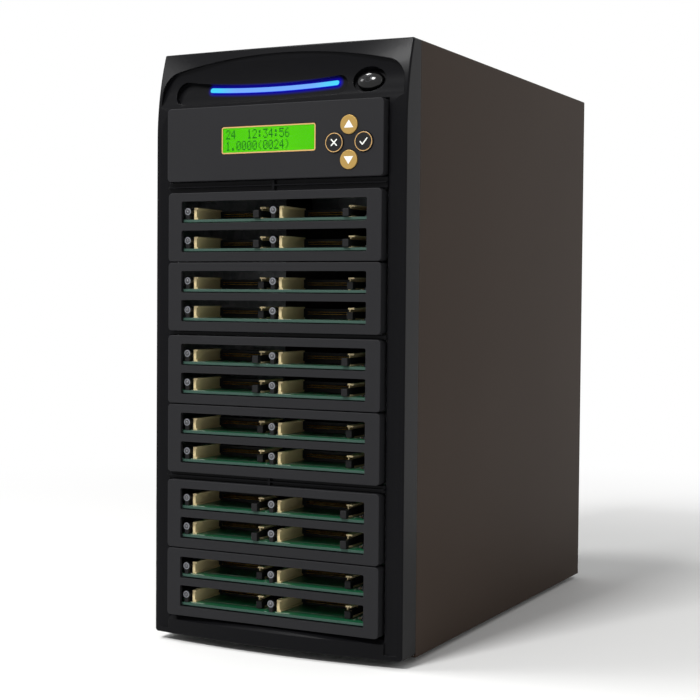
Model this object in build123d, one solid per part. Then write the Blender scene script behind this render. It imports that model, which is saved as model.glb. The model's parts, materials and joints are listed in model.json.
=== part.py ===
from build123d import *
import math
import os

# A tower that copies memory cards. X runs across the front, Y from front to rear and Z up.
# The origin is under the middle of the case, on the surface that the feet stand on.

# Case
case_width = 172.2
case_height = 365.0
shell_depth = 334.5         # from the crown of the front moulding to the rear flanges
ground_gap = 3.5            # side panels' lower edges above the table
sheet = 1.0                 # steel sheet
sheet_gap = 0.1             # between sheets that are screwed together
flange = 7.0                # folded edges of the side and top panels
fold_radius = 1.0
rear_flange = 12.0
seat = 0.3                  # play between a piece and what carries it

# Bays, from the top: the control plate, then six bays in pairs
bay_width = 146.5
bay_count = 6
pair_seam = 0.6
upper_bar_gap = 2.8
lower_bar_gap = 4.9
control_gap = 7.0
control_width = 148.3
control_height = 44.9
stack_lift = 14.4           # lowest bay panel above the side panels' lower edge
head_room = 36.0            # from the control plate's top edge to the top of the case

# Front moulding
crown_lead = 1.0            # the crown stands this far ahead of the bay faces
crown_sagitta = 7.0         # the front's corners lie this far behind its crown
moulding_depth = 25.2       # from the bay faces back to the seam with the case
moulding_wall = 2.4
moulding_lift = 1.2         # its lower edge above the side panels' lower edge
lean_height = 53.6          # the top of the front leans back over this height
crown_lean_radius = 104.0
corner_lean_radius = 155.0
lean_steps = 6
crease_radius = 1.0
lower_corner_radius = 2.0
opening_width = 150.0
opening_margin = 0.6        # above the control plate
sill_drop = 1.2             # the opening's floor below the lowest bay panel
sill_chamfer = 2.6

# Arched scoop in the front
scoop_margin = 2.8          # left beside its columns
scoop_top_drop = 4.2        # crest of the arch below the top
scoop_arch_rise = 10.4
scoop_corner_radius = 14.0
scoop_foot = 9.8            # the scoop's columns run down this far below the lowest bay panel
scoop_setback = 5.5         # its flat columns lie this far behind the bay faces
scoop_bend_drop = 40.5      # the flat ends this far below the top
scoop_bend_radius = 18.0
scoop_bend_angle = 30.0
scoop_cove_radius = 34.0
scoop_cove_angle = 11.0     # past upright, under the brow

# Pill-shaped recess with the light bar
pill_left_inset = 11.8      # its ends, in from the sides of the case
pill_right_inset = 40.8
pill_left_radius = 7.4
pill_right_radius = 5.8
pill_drop = 25.7            # centre of its left end below the top
pill_top_sag = 3.6
pill_bottom_sag = 0.8
pill_depth = 3.2
light_left_inset = 35.1
light_right_inset = 47.6
light_height = 2.9
light_sag = 1.5
light_drop = 24.1
light_proud = 1.4           # above the floor of the pill
light_gap = 0.15

# Power button
power_inset = 26.7          # in from the right side of the case
power_drop = 23.8
power_tilt = 20.0           # the button's axis, down from level
dish_length = 21.5
dish_height = 15.8
dish_depth = 2.8
cap_length = 17.0
cap_height = 12.0
cap_gap = 0.25
cap_gap_rear = 0.2          # between its flange and the boss
cap_proud = 1.6             # its rim above the floor of the dish
cap_dome = 3.2
cap_flange = 1.2
cap_flange_rim = 0.6
switch_gap = 0.3            # left over when the button is pushed right in
indicator_front = 22.4      # indicator board, behind the bay faces
indicator_left_inset = 16.1
indicator_right_inset = 11.1
indicator_top_gap = 9.5
post_radius = 2.4
post_places = (-62.0, -8.0, 42.0)
post_drop = 15.0            # below the top
power_travel = 1.5

# Control plate
plate_wall = 2.4
plate_rim = 9.0
plate_rim_wall = 1.6
plate_corner = 2.5
plate_lead = 0.1
window_width = 65.1
window_height = 16.8
window_x = -2.5
window_drop = 20.9          # its centre below the plate's top edge
board_inset = 4.0           # control board inside the plate's outline
lens_thickness = 1.2
lens_ledge = 1.4
lens_gap = 0.1
window_corner = 1.0
plate_stop = 1.6            # stops in the moulding behind the plate's rim
lcd_width = 71.0
lcd_height = 24.2
lcd_front = 2.6
boss_radius = 2.8
boss_inset = 5.5
tact_size = 6.0
tact_height = 3.4
tact_plunger = 1.75
tact_plunger_height = 0.7
keys_x = 52.0
keys_drop = 24.9
key_pitch_x = 9.6
key_pitch_z = 10.2
arrow_key_diameter = 11.2
ring_key_diameter = 12.0
key_gap = 0.2
key_proud = 0.8
key_flange = 1.0
key_flange_rim = 0.7
key_edge = 0.3
control_board_y = 8.4       # its front face behind the bay faces
board_thickness = 1.6

# Bay panels
panel_wall = 2.2
panel_rim = 9.0
panel_rim_wall = 1.6
panel_corner = 2.5
panel_edge = 0.5
slot_window_width = 127.4
slot_window_foot = 5.8
slot_window_divider = 4.6
slot_window_head = 5.2

# Card slots, two in a row, measured from the status light beside each
card_width = 42.8
card_play = 0.2
lamp_x = -61.0
slot_pitch = 60.6
guide_offset = 2.7
guide_web = 1.9
guide_lip = 0.9
guide_height = 7.4
guide_wall = 1.0
channel_web = 0.7
channel_depth = 2.4
left_guide_front = 6.0      # behind the bay faces
right_guide_front = 11.2
header_front = 34.0
header_depth = 8.0
header_height = 6.4
board_front = 2.6
board_depth = 92.0
board_width = 139.6
board_lift = 0.6            # above the window's lower edge

# Ejector push bars
head_offset = 47.9          # from the status light
head_length = 3.6
head_width = 4.0
head_height = 4.6
head_lift = 0.4
head_front_out = 0.8
bar_offset = 48.7
bar_width = 2.0
bar_height = 3.6
bar_lift = 1.3
bar_rear = 38.0
ejector_travel = 6.5
ejector_edge = 0.3

# Status lights
lamp_radius = 2.3
lamp_lens_radius = 1.4
lamp_front = 3.0
lamp_length = 4.2
lamp_lift = 5.0             # its centre above the board
lamp_leg = 2.6
lamp_ring = 0.6             # the lens sits this deep in its holder

# Side rails and bay cage
rail_wall = 1.2
rail_rear = 102.0
rail_ledge = 4.0
rail_lift = 2.2             # at both ends of a rail
cage_inner = 147.0
cage_front = 12.4
cage_rear = 150.0
cage_flange = 9.2
cage_tab = 1.6
controller_lift = 6.0       # controller board above the foot of the control bay
controller_front = 30.0
controller_rear = 140.0
rail_tab_front = 2.6
rail_tab_inner = 70.3
rail_bridge_front = 9.5
rail_bridge_rear = 14.0
bar_front = 4.0
bar_back = 12.0
bar_clearance = 0.3
bar_rib = 0.8
bar_rib_lead = 1.8
control_rib_x = 0.0
lower_rib_x = -1.7

# Rear of the case
screw_head_height = 2.0
screw_head_radius = 3.2
screw_radius = 1.5
screw_length = 6.0
screw_clearance = 0.1
case_screw_shares = (0.1, 0.5, 0.9)     # of the case height
supply_side_gap = 11.1      # to the sides of the case
supply_height = 86.0
supply_depth = 140.0
supply_top_gap = 4.0
supply_rim = 6.0
supply_screw_inset = 8.0
supply_corner = 16.0        # cut-out corners that stay for the screws
vent_slots = 9
vent_slot_width = 3.0
vent_pitch = 7.0
vent_height = 56.0
inlet_width = 27.2
inlet_height = 47.0
inlet_depth = 21.0
inlet_x = -50.0
socket_width = 24.6
socket_height = 16.6
socket_depth = 16.0
pin_width = 2.0
pin_height = 4.0
pin_pitch = 14.0
pin_length = 13.0
rocker_width = 11.0
rocker_length = 18.0
rocker_gap = 0.4
rocker_tilt = 7.0
rocker_pin_radius = 0.8
rocker_pin_gap = 0.05
rocker_pin_reach = 2.0
rocker_depth = 8.0
rocker_foot = 2.5           # its lower side below the pivot
rocker_crest = 3.0
rocker_middle = 1.8
rocker_pivot_depth = 2.7
inlet_rim = 2.0
fan_size = 80.0
fan_depth = 25.0
fan_bore = 76.0
fan_corner = 4.0
fan_hub = 36.0
fan_blades = 7
fan_tip_gap = 1.2
fan_motor_depth = 4.0
fan_shaft_radius = 1.5
fan_shaft_gap = 0.05
fan_blade_depth = 16.0
fan_blade_wall = 1.4
fan_blade_pitch = 38.0
fan_screw_radius = 2.15
fan_hole_pitch = 71.5
fan_drop = 150.0            # its centre below the top of the case
grille_slots = 11
grille_slot_height = 3.6
grille_pitch = 6.4

# Base and feet
foot_radius = 8.0
foot_inset_x = 26.0
foot_inset_y = 34.0
foot_chamfer = 1.0
base_flange = 12.0

# Shared places
total_depth = shell_depth + screw_head_height
front_y = -total_depth / 2
face_y = front_y + crown_lead
seam_y = face_y + moulding_depth
rear_sheet_y = front_y + shell_depth
case_top = ground_gap + case_height
half_width = case_width / 2
stack_bottom = ground_gap + stack_lift
base_z = ground_gap + sheet
rear_panel_y = rear_sheet_y - sheet - sheet_gap     # its rear face
cavity_y = rear_panel_y - sheet                     # its front face
panel_inner = half_width - sheet                    # inside of the side panels
inner_reach = panel_inner - 2 * sheet_gap
rear_flange_x = half_width - rear_flange
cage_x = cage_inner / 2
opening_x = opening_width / 2
scoop_width = case_width - 2 * scoop_margin
pill_left = pill_left_inset - half_width
pill_right = half_width - pill_right_inset
light_left = light_left_inset - half_width
light_right = half_width - light_right_inset
power_x = half_width - power_inset
power_z = case_top - power_drop
supply_width = case_width - 2 * supply_side_gap
supply_top = case_top - sheet - supply_top_gap
supply_z = supply_top - supply_height / 2
fan_z = case_top - fan_drop
fan_front = cavity_y - fan_depth
inlet_face = cavity_y + inlet_rim
rocker_pivot_y = inlet_face - rocker_pivot_depth
socket_z = supply_z - inlet_height / 4
rocker_z = supply_z + inlet_height / 4

gaps_above = [pair_seam, lower_bar_gap, pair_seam, upper_bar_gap, pair_seam, control_gap]
bay_room = case_top - head_room - control_height - sum(gaps_above) - stack_bottom
bay_height = bay_room / bay_count
slot_window_height = (bay_height - slot_window_foot - slot_window_divider - slot_window_head) / 2
rail_height = bay_height - 2 * rail_lift
bay_bottom = {}
level = stack_bottom
for number, gap in zip(range(bay_count, 0, -1), gaps_above):
    bay_bottom[number] = level
    level += bay_height + gap
control_bottom = level
control_top = control_bottom + control_height
window_feet = {
    "upper": slot_window_foot + slot_window_height + slot_window_divider,
    "lower": slot_window_foot,
}
opening_floor = stack_bottom - sill_drop
opening_top = control_top + opening_margin
key_places = {
    "up_key": (keys_x, key_pitch_z, arrow_key_diameter / 2),
    "down_key": (keys_x, -key_pitch_z, arrow_key_diameter / 2),
    "cross_key": (keys_x - key_pitch_x, 0.0, ring_key_diameter / 2),
    "tick_key": (keys_x + key_pitch_x, 0.0, ring_key_diameter / 2),
}
case_screw_places = [
    (side * (half_width - rear_flange / 2), ground_gap + case_height * share)
    for side in (-1, 1)
    for share in case_screw_shares
]
supply_screw_places = [
    (x * (supply_width / 2 - supply_screw_inset), supply_z + z * (supply_height / 2 - supply_screw_inset))
    for x in (-1, 1)
    for z in (-1, 1)
]
fan_screw_places = [
    (x * fan_hole_pitch / 2, fan_z + z * fan_hole_pitch / 2)
    for x in (-1, 1)
    for z in (-1, 1)
]
slots = [
    (bay, row, side)
    for bay in range(1, bay_count + 1)
    for row in window_feet
    for side in ("left", "right")
]


def span_box(x, y, z):
    """A box from its two ends along each axis."""
    box = Box(x[1] - x[0], y[1] - y[0], z[1] - z[0])
    return Pos((x[0] + x[1]) / 2, (y[0] + y[1]) / 2, (z[0] + z[1]) / 2) * box


def front_plane(y):
    """A plane that faces the viewer at depth y, with its own Y axis upwards."""
    return Plane(origin=(0, y, 0), x_dir=(1, 0, 0), z_dir=(0, -1, 0))


def rod(radius, x, z, y):
    """A round bar along Y between two depths."""
    middle = (y[0] + y[1]) / 2
    return Pos(x, middle, z) * Rot(90, 0, 0) * Cylinder(radius, y[1] - y[0])


def plate(width, height, corner, x, z, y):
    """An upright plate with round corners between two depths."""
    face = Pos(x, z) * RectangleRounded(width, height, corner)
    return extrude(front_plane(y[0]) * face, -(y[1] - y[0]))


def board_top(bay, row):
    return bay_bottom[bay] + window_feet[row] + board_lift + board_thickness


def slot_x(side):
    return lamp_x + (slot_pitch if side == "right" else 0)


def edges_near(shape, axis, value, tolerance=0.01):
    """The edges whose middles lie at one value along an axis."""
    picked = []
    for edge in shape.edges():
        middle = edge.center(CenterOf.BOUNDING_BOX)
        if abs({"x": middle.X, "y": middle.Y, "z": middle.Z}[axis] - value) < tolerance:
            picked.append(edge)
    return ShapeList(picked)


# Front moulding

def plan_section(z, inset):
    """The moulding cut level at height z: a flat back and sides, and a curved front."""
    side = half_width - inset
    rise = max(0.0, z - (case_top - lean_height))
    crown = face_y - crown_lead + inset + rise ** 2 / (2 * crown_lean_radius)
    corner = face_y - crown_lead + crown_sagitta + inset + rise ** 2 / (2 * corner_lean_radius)
    front = ThreePointArc((-side, corner), (0, crown), (side, corner))
    back = Polyline((side, corner), (side, seam_y), (-side, seam_y), (-side, corner))
    return Pos(0, 0, z) * make_face(front + back)


def moulding_body(inset):
    """The moulding's outer form, or the same form drawn in by inset."""
    bottom = ground_gap + moulding_lift + inset
    top = case_top - inset
    lean_start = case_top - lean_height
    upright = extrude(plan_section(bottom, inset), lean_start - bottom)
    heights = [lean_start + (top - lean_start) * step / lean_steps for step in range(lean_steps + 1)]
    return upright + loft([plan_section(z, inset) for z in heights])


def softened(body):
    """Rounds the moulding's lower corners, its front creases and the edges of its top."""
    lower_edges = []
    for edge in edges_near(body, "z", ground_gap + moulding_lift):
        if edge.bounding_box().size.X < seat:
            lower_edges.append(edge)
    body = fillet(lower_edges, lower_corner_radius)
    creases = []
    for side in (-half_width, half_width):
        for edge in edges_near(body, "x", side):
            box = edge.bounding_box()
            if box.center().Y < seam_y - flange and box.size.Z > flange:
                creases.append(edge)
    body = fillet(creases, crease_radius)
    rim = []
    for edge in edges_near(body, "z", case_top):
        if edge.center(CenterOf.BOUNDING_BOX).Y < seam_y - crease_radius:
            rim.append(edge)
    return fillet(rim, crease_radius)


def scoop_profile(shift):
    """The scoop's side view: everything in front of its surface, moved back by shift."""
    bend = math.radians(scoop_bend_angle)
    cove = math.radians(scoop_cove_angle)
    flat_y = face_y + scoop_setback + shift
    bend_z = case_top - scoop_bend_drop
    bend_end = (
        flat_y + scoop_bend_radius * (1 - math.cos(bend)),
        bend_z + scoop_bend_radius * math.sin(bend),
    )
    middle = (bend - cove) / 2
    cove_points = [
        (
            bend_end[0] + scoop_cove_radius * (math.cos(angle) - math.cos(bend)),
            bend_end[1] + scoop_cove_radius * (math.sin(bend) - math.sin(angle)),
        )
        for angle in (middle, -cove)
    ]
    bend_middle = (
        flat_y + scoop_bend_radius * (1 - math.cos(bend / 2)),
        bend_z + scoop_bend_radius * math.sin(bend / 2),
    )
    front = front_y - moulding_depth
    top = case_top + moulding_depth
    low = ground_gap - moulding_depth
    outline = (
        Polyline((front, low), (flat_y, low), (flat_y, bend_z))
        + ThreePointArc((flat_y, bend_z), bend_middle, bend_end)
        + ThreePointArc(bend_end, cove_points[0], cove_points[1])
        + Polyline(cove_points[1], (cove_points[1][0], top), (front, top), (front, low))
    )
    profile = Plane.YZ * make_face(outline)
    return extrude(profile, half_width, both=True)


def scoop_outline(grow):
    """The arch with its two columns, seen from the front."""
    side = scoop_width / 2 + grow
    crest = case_top - scoop_top_drop + grow
    spring = crest - scoop_arch_rise
    foot = stack_bottom - scoop_foot - grow
    sill = stack_bottom - sill_drop - grow
    arch = ThreePointArc((side, spring), (0, crest), (-side, spring))
    walls = Polyline((-side, spring), (-side, foot), (side, foot), (side, spring))
    face = make_face(arch + walls)
    shoulders = [v for v in face.vertices() if v.Y > spring - 1]
    face = fillet(shoulders, scoop_corner_radius)
    notch_width = opening_width - 2 * grow
    notch = Pos(0, (foot + sill) / 2) * Rectangle(notch_width, sill - foot)
    return face - notch


def scoop(grow=0.0):
    """The space that the scoop takes out of the front, or more of it all round."""
    prism = front_plane(front_y - moulding_depth) * scoop_outline(grow)
    body = extrude(prism, -3 * moulding_depth)
    return body & scoop_profile(grow)


def pill_outline(grow):
    """A long rounded slot whose edges sag in the middle."""
    z = case_top - pill_drop
    left = (pill_left + pill_left_radius, z)
    right = (pill_right - pill_right_radius, z)
    big = pill_left_radius + grow
    small = pill_right_radius + grow
    middle = (left[0] + right[0]) / 2
    mean = (big + small) / 2
    top = ThreePointArc((left[0], z + big), (middle, z + mean - pill_top_sag), (right[0], z + small))
    right_end = ThreePointArc((right[0], z + small), (right[0] + small, z), (right[0], z - small))
    bottom = ThreePointArc((right[0], z - small), (middle, z - mean - pill_bottom_sag), (left[0], z - big))
    left_end = ThreePointArc((left[0], z - big), (left[0] - big, z), (left[0], z + big))
    return make_face(top + right_end + bottom + left_end)


def pill(grow=0.0):
    prism = front_plane(front_y - moulding_depth) * pill_outline(grow)
    return extrude(prism, -3 * moulding_depth) & scoop_profile(pill_depth + grow)


def light_outline(grow):
    """The light bar from the front: a bent strip with round ends."""
    z = case_top - light_drop
    end = light_height / 2
    left = light_left + end
    right = light_right - end
    middle = (left + right) / 2
    centre = ThreePointArc((left, z), (middle, z - light_sag), (right, z))
    start = centre @ 0
    stop = centre @ 1
    normal_start = (centre % 0).rotate(Axis.Z, 90)
    normal_stop = (centre % 1).rotate(Axis.Z, 90)
    reach = end + grow
    low = z - light_sag
    left_top = start + normal_start * reach
    left_foot = start - normal_start * reach
    right_top = stop + normal_stop * reach
    right_foot = stop - normal_stop * reach
    top = ThreePointArc(left_top, (middle, low + reach), right_top)
    bottom = ThreePointArc(right_foot, (middle, low - reach), left_foot)
    right_end = ThreePointArc(right_top, stop + (centre % 1) * reach, right_foot)
    left_end = ThreePointArc(left_foot, start - (centre % 0) * reach, left_top)
    return make_face(top + right_end + bottom + left_end)


def scoop_surface(z):
    """Depth of the scoop's surface at a height on its cove."""
    bend = math.radians(scoop_bend_angle)
    bend_end_z = case_top - scoop_bend_drop + scoop_bend_radius * math.sin(bend)
    angle = math.asin(math.sin(bend) - (z - bend_end_z) / scoop_cove_radius)
    start = face_y + scoop_setback + scoop_bend_radius * (1 - math.cos(bend))
    return start + scoop_cove_radius * (math.cos(angle) - math.cos(bend))


def power_oval(length, height, high, low):
    """An oval bar along the power button's axis, from high to low above the scoop's surface."""
    tilt = math.radians(power_tilt)
    outward = Vector(0, -math.cos(tilt), math.sin(tilt))
    surface = Vector(power_x, scoop_surface(power_z), power_z)
    plane = Plane(origin=surface + outward * low, x_dir=(1, 0, 0), z_dir=outward)
    return extrude(plane * Ellipse(length / 2, height / 2), high - low)


def light_prism(grow, rear_y):
    """The light bar's outline run from well in front back to a depth."""
    start = front_y - moulding_depth
    return extrude(front_plane(start) * light_outline(grow), -(rear_y - start))


def cross_bar(bottom, gap, rib_x):
    """A bar across the opening between two bay panels, with its ribs."""
    z = (bottom + bar_clearance, bottom + gap - bar_clearance)
    middle = (z[0] + z[1]) / 2
    back = face_y + bar_back
    front = face_y + bar_front
    lead = (front - bar_rib_lead, front)
    bar = span_box((-opening_x, opening_x), (front, back), z)
    if rib_x is None:
        return bar
    rib = span_box((-opening_x, opening_x), lead, (middle - bar_rib / 2, middle + bar_rib / 2))
    upright = span_box((rib_x - bar_rib, rib_x + bar_rib), lead, z)
    return bar + rib + upright


def sill_section(z, shift):
    """What lies ahead of the moulding's front over the opening's width, moved back by shift."""
    radius = (crown_sagitta ** 2 + half_width ** 2) / (2 * crown_sagitta)
    crown = front_y + shift
    end = crown + radius - math.sqrt(radius ** 2 - opening_x ** 2)
    ahead = front_y - moulding_depth
    arc = ThreePointArc((-opening_x, end), (0, crown), (opening_x, end))
    walls = Polyline((opening_x, end), (opening_x, ahead), (-opening_x, ahead), (-opening_x, end))
    return Pos(0, 0, z) * make_face(arc + walls)


def front_bezel():
    wall = moulding_wall
    deep = (front_y - wall, seam_y + wall)
    body = softened(moulding_body(0)) - scoop() - pill()
    cavity = moulding_body(wall) - scoop(wall) - pill(wall)
    cavity -= span_box(
        (-opening_x - wall, opening_x + wall),
        deep,
        (opening_floor - wall, opening_top + wall),
    )
    cavity -= power_oval(dish_length + 2 * wall, dish_height + 2 * wall, wall, -dish_depth - wall)
    for x in post_places:
        cavity -= rod(post_radius, x, case_top - post_drop, (front_y, face_y + indicator_front))
    body -= cavity
    body -= span_box((-opening_x, opening_x), deep, (opening_floor, opening_top))
    upper = sill_section(opening_floor + wall, sill_chamfer + wall)
    lower = sill_section(opening_floor - sill_chamfer - wall, -wall)
    body -= loft([lower, upper])
    body -= power_oval(dish_length, dish_height, wall, -dish_depth)
    hole_length = cap_length + 2 * cap_gap
    hole_height = cap_height + 2 * cap_gap
    body -= power_oval(hole_length, hole_height, wall, -dish_depth - 2 * wall)
    body -= light_prism(light_gap, seam_y)
    body += cross_bar(control_bottom - control_gap, control_gap, control_rib_x)
    body += cross_bar(bay_bottom[2] - upper_bar_gap, upper_bar_gap, None)
    body += cross_bar(bay_bottom[4] - lower_bar_gap, lower_bar_gap, lower_rib_x)
    stop_front = face_y - plate_lead + plate_rim + seat
    for side in (-1, 1):
        reach = sorted((side * opening_x, side * (opening_x - plate_stop)))
        body += span_box(reach, (stop_front, face_y + bar_back), (control_bottom, control_top))
    return body


def power_button():
    length = cap_length
    height = cap_height
    rim_level = -dish_depth + cap_proud
    flange_top = -dish_depth - moulding_wall - cap_gap_rear
    flange_bottom = flange_top - cap_flange
    tilt = math.radians(power_tilt)
    outward = Vector(0, -math.cos(tilt), math.sin(tilt))
    surface = Vector(power_x, scoop_surface(power_z), power_z)
    plane = Plane(origin=surface + outward * rim_level, x_dir=(1, 0, 0), z_dir=outward)
    dome = plane * scale(Sphere(1), (length / 2, height / 2, cap_dome))
    cap = power_oval(length, height, rim_level, flange_top) + dome
    rim = 2 * cap_flange_rim
    return cap + power_oval(length + rim, height + rim, flange_top, flange_bottom)


def light_bar():
    board_front_y = face_y + indicator_front
    bar = light_prism(0, board_front_y) - scoop_profile(pill_depth - light_proud)
    flange_front = pill_depth + moulding_wall + light_gap
    return bar + (light_prism(light_gap + light_proud, board_front_y) - scoop_profile(flange_front))


def indicator_board():
    front = face_y + indicator_front
    foot = opening_top + moulding_wall + seat
    width = (indicator_left_inset - half_width, half_width - indicator_right_inset)
    board = span_box(width, (front, front + board_thickness), (foot, case_top - indicator_top_gap))
    tilt = math.radians(power_tilt)
    reach = dish_depth + moulding_wall + cap_gap_rear + cap_flange + power_travel
    drop = cap_height / 2 * math.sin(tilt)
    switch_front = scoop_surface(power_z) + reach * math.cos(tilt) + drop + switch_gap
    half = tact_size / 2
    z = power_z - reach * math.sin(tilt)
    return board + span_box((power_x - half, power_x + half), (switch_front, front), (z - half, z + half))


# Control panel

def control_plate():
    front = face_y - plate_lead
    middle = (control_bottom + control_top) / 2
    rim = 2 * plate_rim_wall
    body = plate(control_width, control_height, plate_corner, 0, middle, (front, front + plate_rim))
    body = fillet(edges_near(body, "y", front), panel_edge)
    inner_corner = plate_corner - plate_rim_wall
    inner = (front + plate_wall, front + 2 * plate_rim)
    body -= plate(control_width - rim, control_height - rim, inner_corner, 0, middle, inner)
    window_z = control_top - window_drop
    through = (front - plate_wall, front + plate_wall + plate_wall)
    ledge_depth = (front - plate_wall, front + lens_thickness)
    body -= plate(window_width, window_height, window_corner, window_x, window_z, ledge_depth)
    ledge = 2 * lens_ledge
    body -= plate(window_width - ledge, window_height - ledge, window_corner, window_x, window_z, through)
    keys_z = control_top - keys_drop
    for x, dz, radius in key_places.values():
        body -= rod(radius + key_gap, x, keys_z + dz, through)
    boss = (front + plate_wall - key_edge, face_y + control_board_y)
    for x in (-1, 1):
        for z in (-1, 1):
            place_x = x * (control_width / 2 - board_inset - boss_inset)
            place_z = middle + z * (control_height / 2 - board_inset - boss_inset / 2)
            body += rod(boss_radius, place_x, place_z, boss)
    return body


def lcd_window():
    front = face_y - plate_lead
    gap = 2 * lens_gap
    window_z = control_top - window_drop
    depth = (front, front + lens_thickness)
    corner = window_corner - lens_gap
    return plate(window_width - gap, window_height - gap, corner, window_x, window_z, depth)


def key(name):
    """A round key with a flange behind the plate."""
    x, dz, radius = key_places[name]
    front = face_y - plate_lead
    z = control_top - keys_drop + dz
    flange_front = front + plate_wall + key_gap
    cap = rod(radius, x, z, (front - key_proud, flange_front + key_flange))
    cap = fillet(edges_near(cap, "y", front - key_proud), key_edge)
    return cap + rod(radius + key_flange_rim, x, z, (flange_front, flange_front + key_flange))


def control_board():
    front = face_y + control_board_y
    middle = (control_bottom + control_top) / 2
    half_x = control_width / 2 - board_inset
    half_z = control_height / 2 - board_inset
    body = span_box((-half_x, half_x), (front, front + board_thickness), (middle - half_z, middle + half_z))
    window_z = control_top - window_drop
    body += plate(lcd_width, lcd_height, window_corner, window_x, window_z, (face_y + lcd_front, front))
    keys_z = control_top - keys_drop
    half = tact_size / 2
    for x, dz, _ in key_places.values():
        z = keys_z + dz
        body_front = front - tact_height
        body += span_box((x - half, x + half), (body_front, front), (z - half, z + half))
        body += rod(tact_plunger, x, z, (body_front - tact_plunger_height, body_front))
    return body


# Bays

def bay_panel(bay):
    """A bay's front: a shallow tray with two wide windows."""
    bottom = bay_bottom[bay]
    middle = bottom + bay_height / 2
    rim = 2 * panel_rim_wall
    body = plate(bay_width, bay_height, panel_corner, 0, middle, (face_y, face_y + panel_rim))
    body = fillet(edges_near(body, "y", face_y), panel_edge)
    inner_corner = panel_corner - panel_rim_wall
    inner = (face_y + panel_wall, face_y + 2 * panel_rim)
    body -= plate(bay_width - rim, bay_height - rim, inner_corner, 0, middle, inner)
    through = (face_y - panel_wall, face_y + 2 * panel_wall)
    for foot in window_feet.values():
        z = bottom + foot + slot_window_height / 2
        body -= plate(slot_window_width, slot_window_height, window_corner, 0, z, through)
    return body


def reader_boards():
    boards = []
    for bay in bay_bottom:
        for row in window_feet:
            top = board_top(bay, row)
            depth = (face_y + board_front, face_y + board_front + board_depth)
            width = (-board_width / 2, board_width / 2)
            boards.append(span_box(width, depth, (top - board_thickness, top)))
    return boards


def side_rails():
    rails = []
    outer = cage_x - seat
    web_inner = outer - rail_wall
    tab_outer = rail_tab_inner + rail_wall
    tab_depth = (face_y + rail_tab_front, face_y + rail_bridge_rear)
    bridge_depth = (face_y + rail_bridge_front, face_y + rail_bridge_rear)
    web_depth = (face_y + rail_bridge_front, face_y + rail_rear)
    for bottom in bay_bottom.values():
        z = (bottom + rail_lift, bottom + rail_lift + rail_height)
        rail = span_box((web_inner, outer), web_depth, z)
        rail += span_box((rail_tab_inner, tab_outer), tab_depth, z)
        rail += span_box((tab_outer, web_inner), bridge_depth, z)
        for foot in window_feet.values():
            ledge_top = bottom + foot + board_lift
            ledge = (ledge_top - rail_wall, ledge_top)
            ledge_inner = board_width / 2 - rail_ledge
            rail += span_box((ledge_inner, web_inner), web_depth, ledge)
        rails.append(rail)
        rails.append(mirror(rail, Plane.YZ))
    return rails


def guide_solid(x, depth, base, lips):
    """An upright web with a lip at its foot and its head on each side named in lips."""
    top = base + guide_height
    body = span_box(x, depth, (base, top))
    for lip in lips:
        body += span_box(lip, depth, (base, base + guide_wall))
        body += span_box(lip, depth, (top - guide_wall, top))
    return body


def card_guides():
    guides = []
    for bay, row, side in slots:
        base = board_top(bay, row)
        left = slot_x(side) + guide_offset
        left_web = (left, left + guide_web)
        left_lip = (left_web[1], left_web[1] + guide_lip)
        left_depth = (face_y + left_guide_front, face_y + header_front)
        guides.append(guide_solid(left_web, left_depth, base, [left_lip]))
        right = left_web[1] + card_width + 2 * card_play
        right_web = (right, right + channel_web)
        right_lip = (right - guide_lip, right)
        channel = (right_web[1], right_web[1] + channel_depth)
        right_depth = (face_y + right_guide_front, face_y + header_front)
        guides.append(guide_solid(right_web, right_depth, base, [right_lip, channel]))
    return guides


def socket_headers():
    headers = []
    for bay, row, side in slots:
        base = board_top(bay, row)
        left = slot_x(side) + guide_offset
        right = left + guide_web + card_width + 2 * card_play + channel_web / 2
        depth = (face_y + header_front, face_y + header_front + header_depth)
        headers.append(span_box((left, right), depth, (base, base + header_height)))
    return headers


def ejector(bay, row, side):
    """A push bar with its head in front; odd bays stand out and even bays are pushed in."""
    base = board_top(bay, row)
    x = slot_x(side)
    shift = 0 if bay % 2 else ejector_travel
    front = face_y + head_front_out + shift
    head_x = (x + head_offset, x + head_offset + head_width)
    head_z = (base + head_lift, base + head_lift + head_height)
    head = span_box(head_x, (front, front + head_length), head_z)
    head = fillet(edges_near(head, "y", front), ejector_edge)
    bar_x = (x + bar_offset, x + bar_offset + bar_width)
    bar_z = (base + bar_lift, base + bar_lift + bar_height)
    return head + span_box(bar_x, (front + head_length, face_y + bar_rear + shift - ejector_travel), bar_z)


def status_lights():
    lights = []
    for bay, row, side in slots:
        base = board_top(bay, row)
        x = slot_x(side)
        z = base + lamp_lift
        front = face_y + lamp_front
        depth = (front, front + lamp_length)
        lamp = rod(lamp_radius, x, z, depth)
        lamp += span_box((x - lamp_leg / 2, x + lamp_leg / 2), depth, (base, z))
        lamp -= rod(lamp_lens_radius, x, z, (front - lamp_ring, front + lamp_ring))
        lamp += Pos(x, front + lamp_ring, z) * Sphere(lamp_lens_radius)
        lights.append(lamp)
    return lights


# Case

def mirrored(shape):
    return [shape, mirror(shape, Plane.YZ)]


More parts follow.
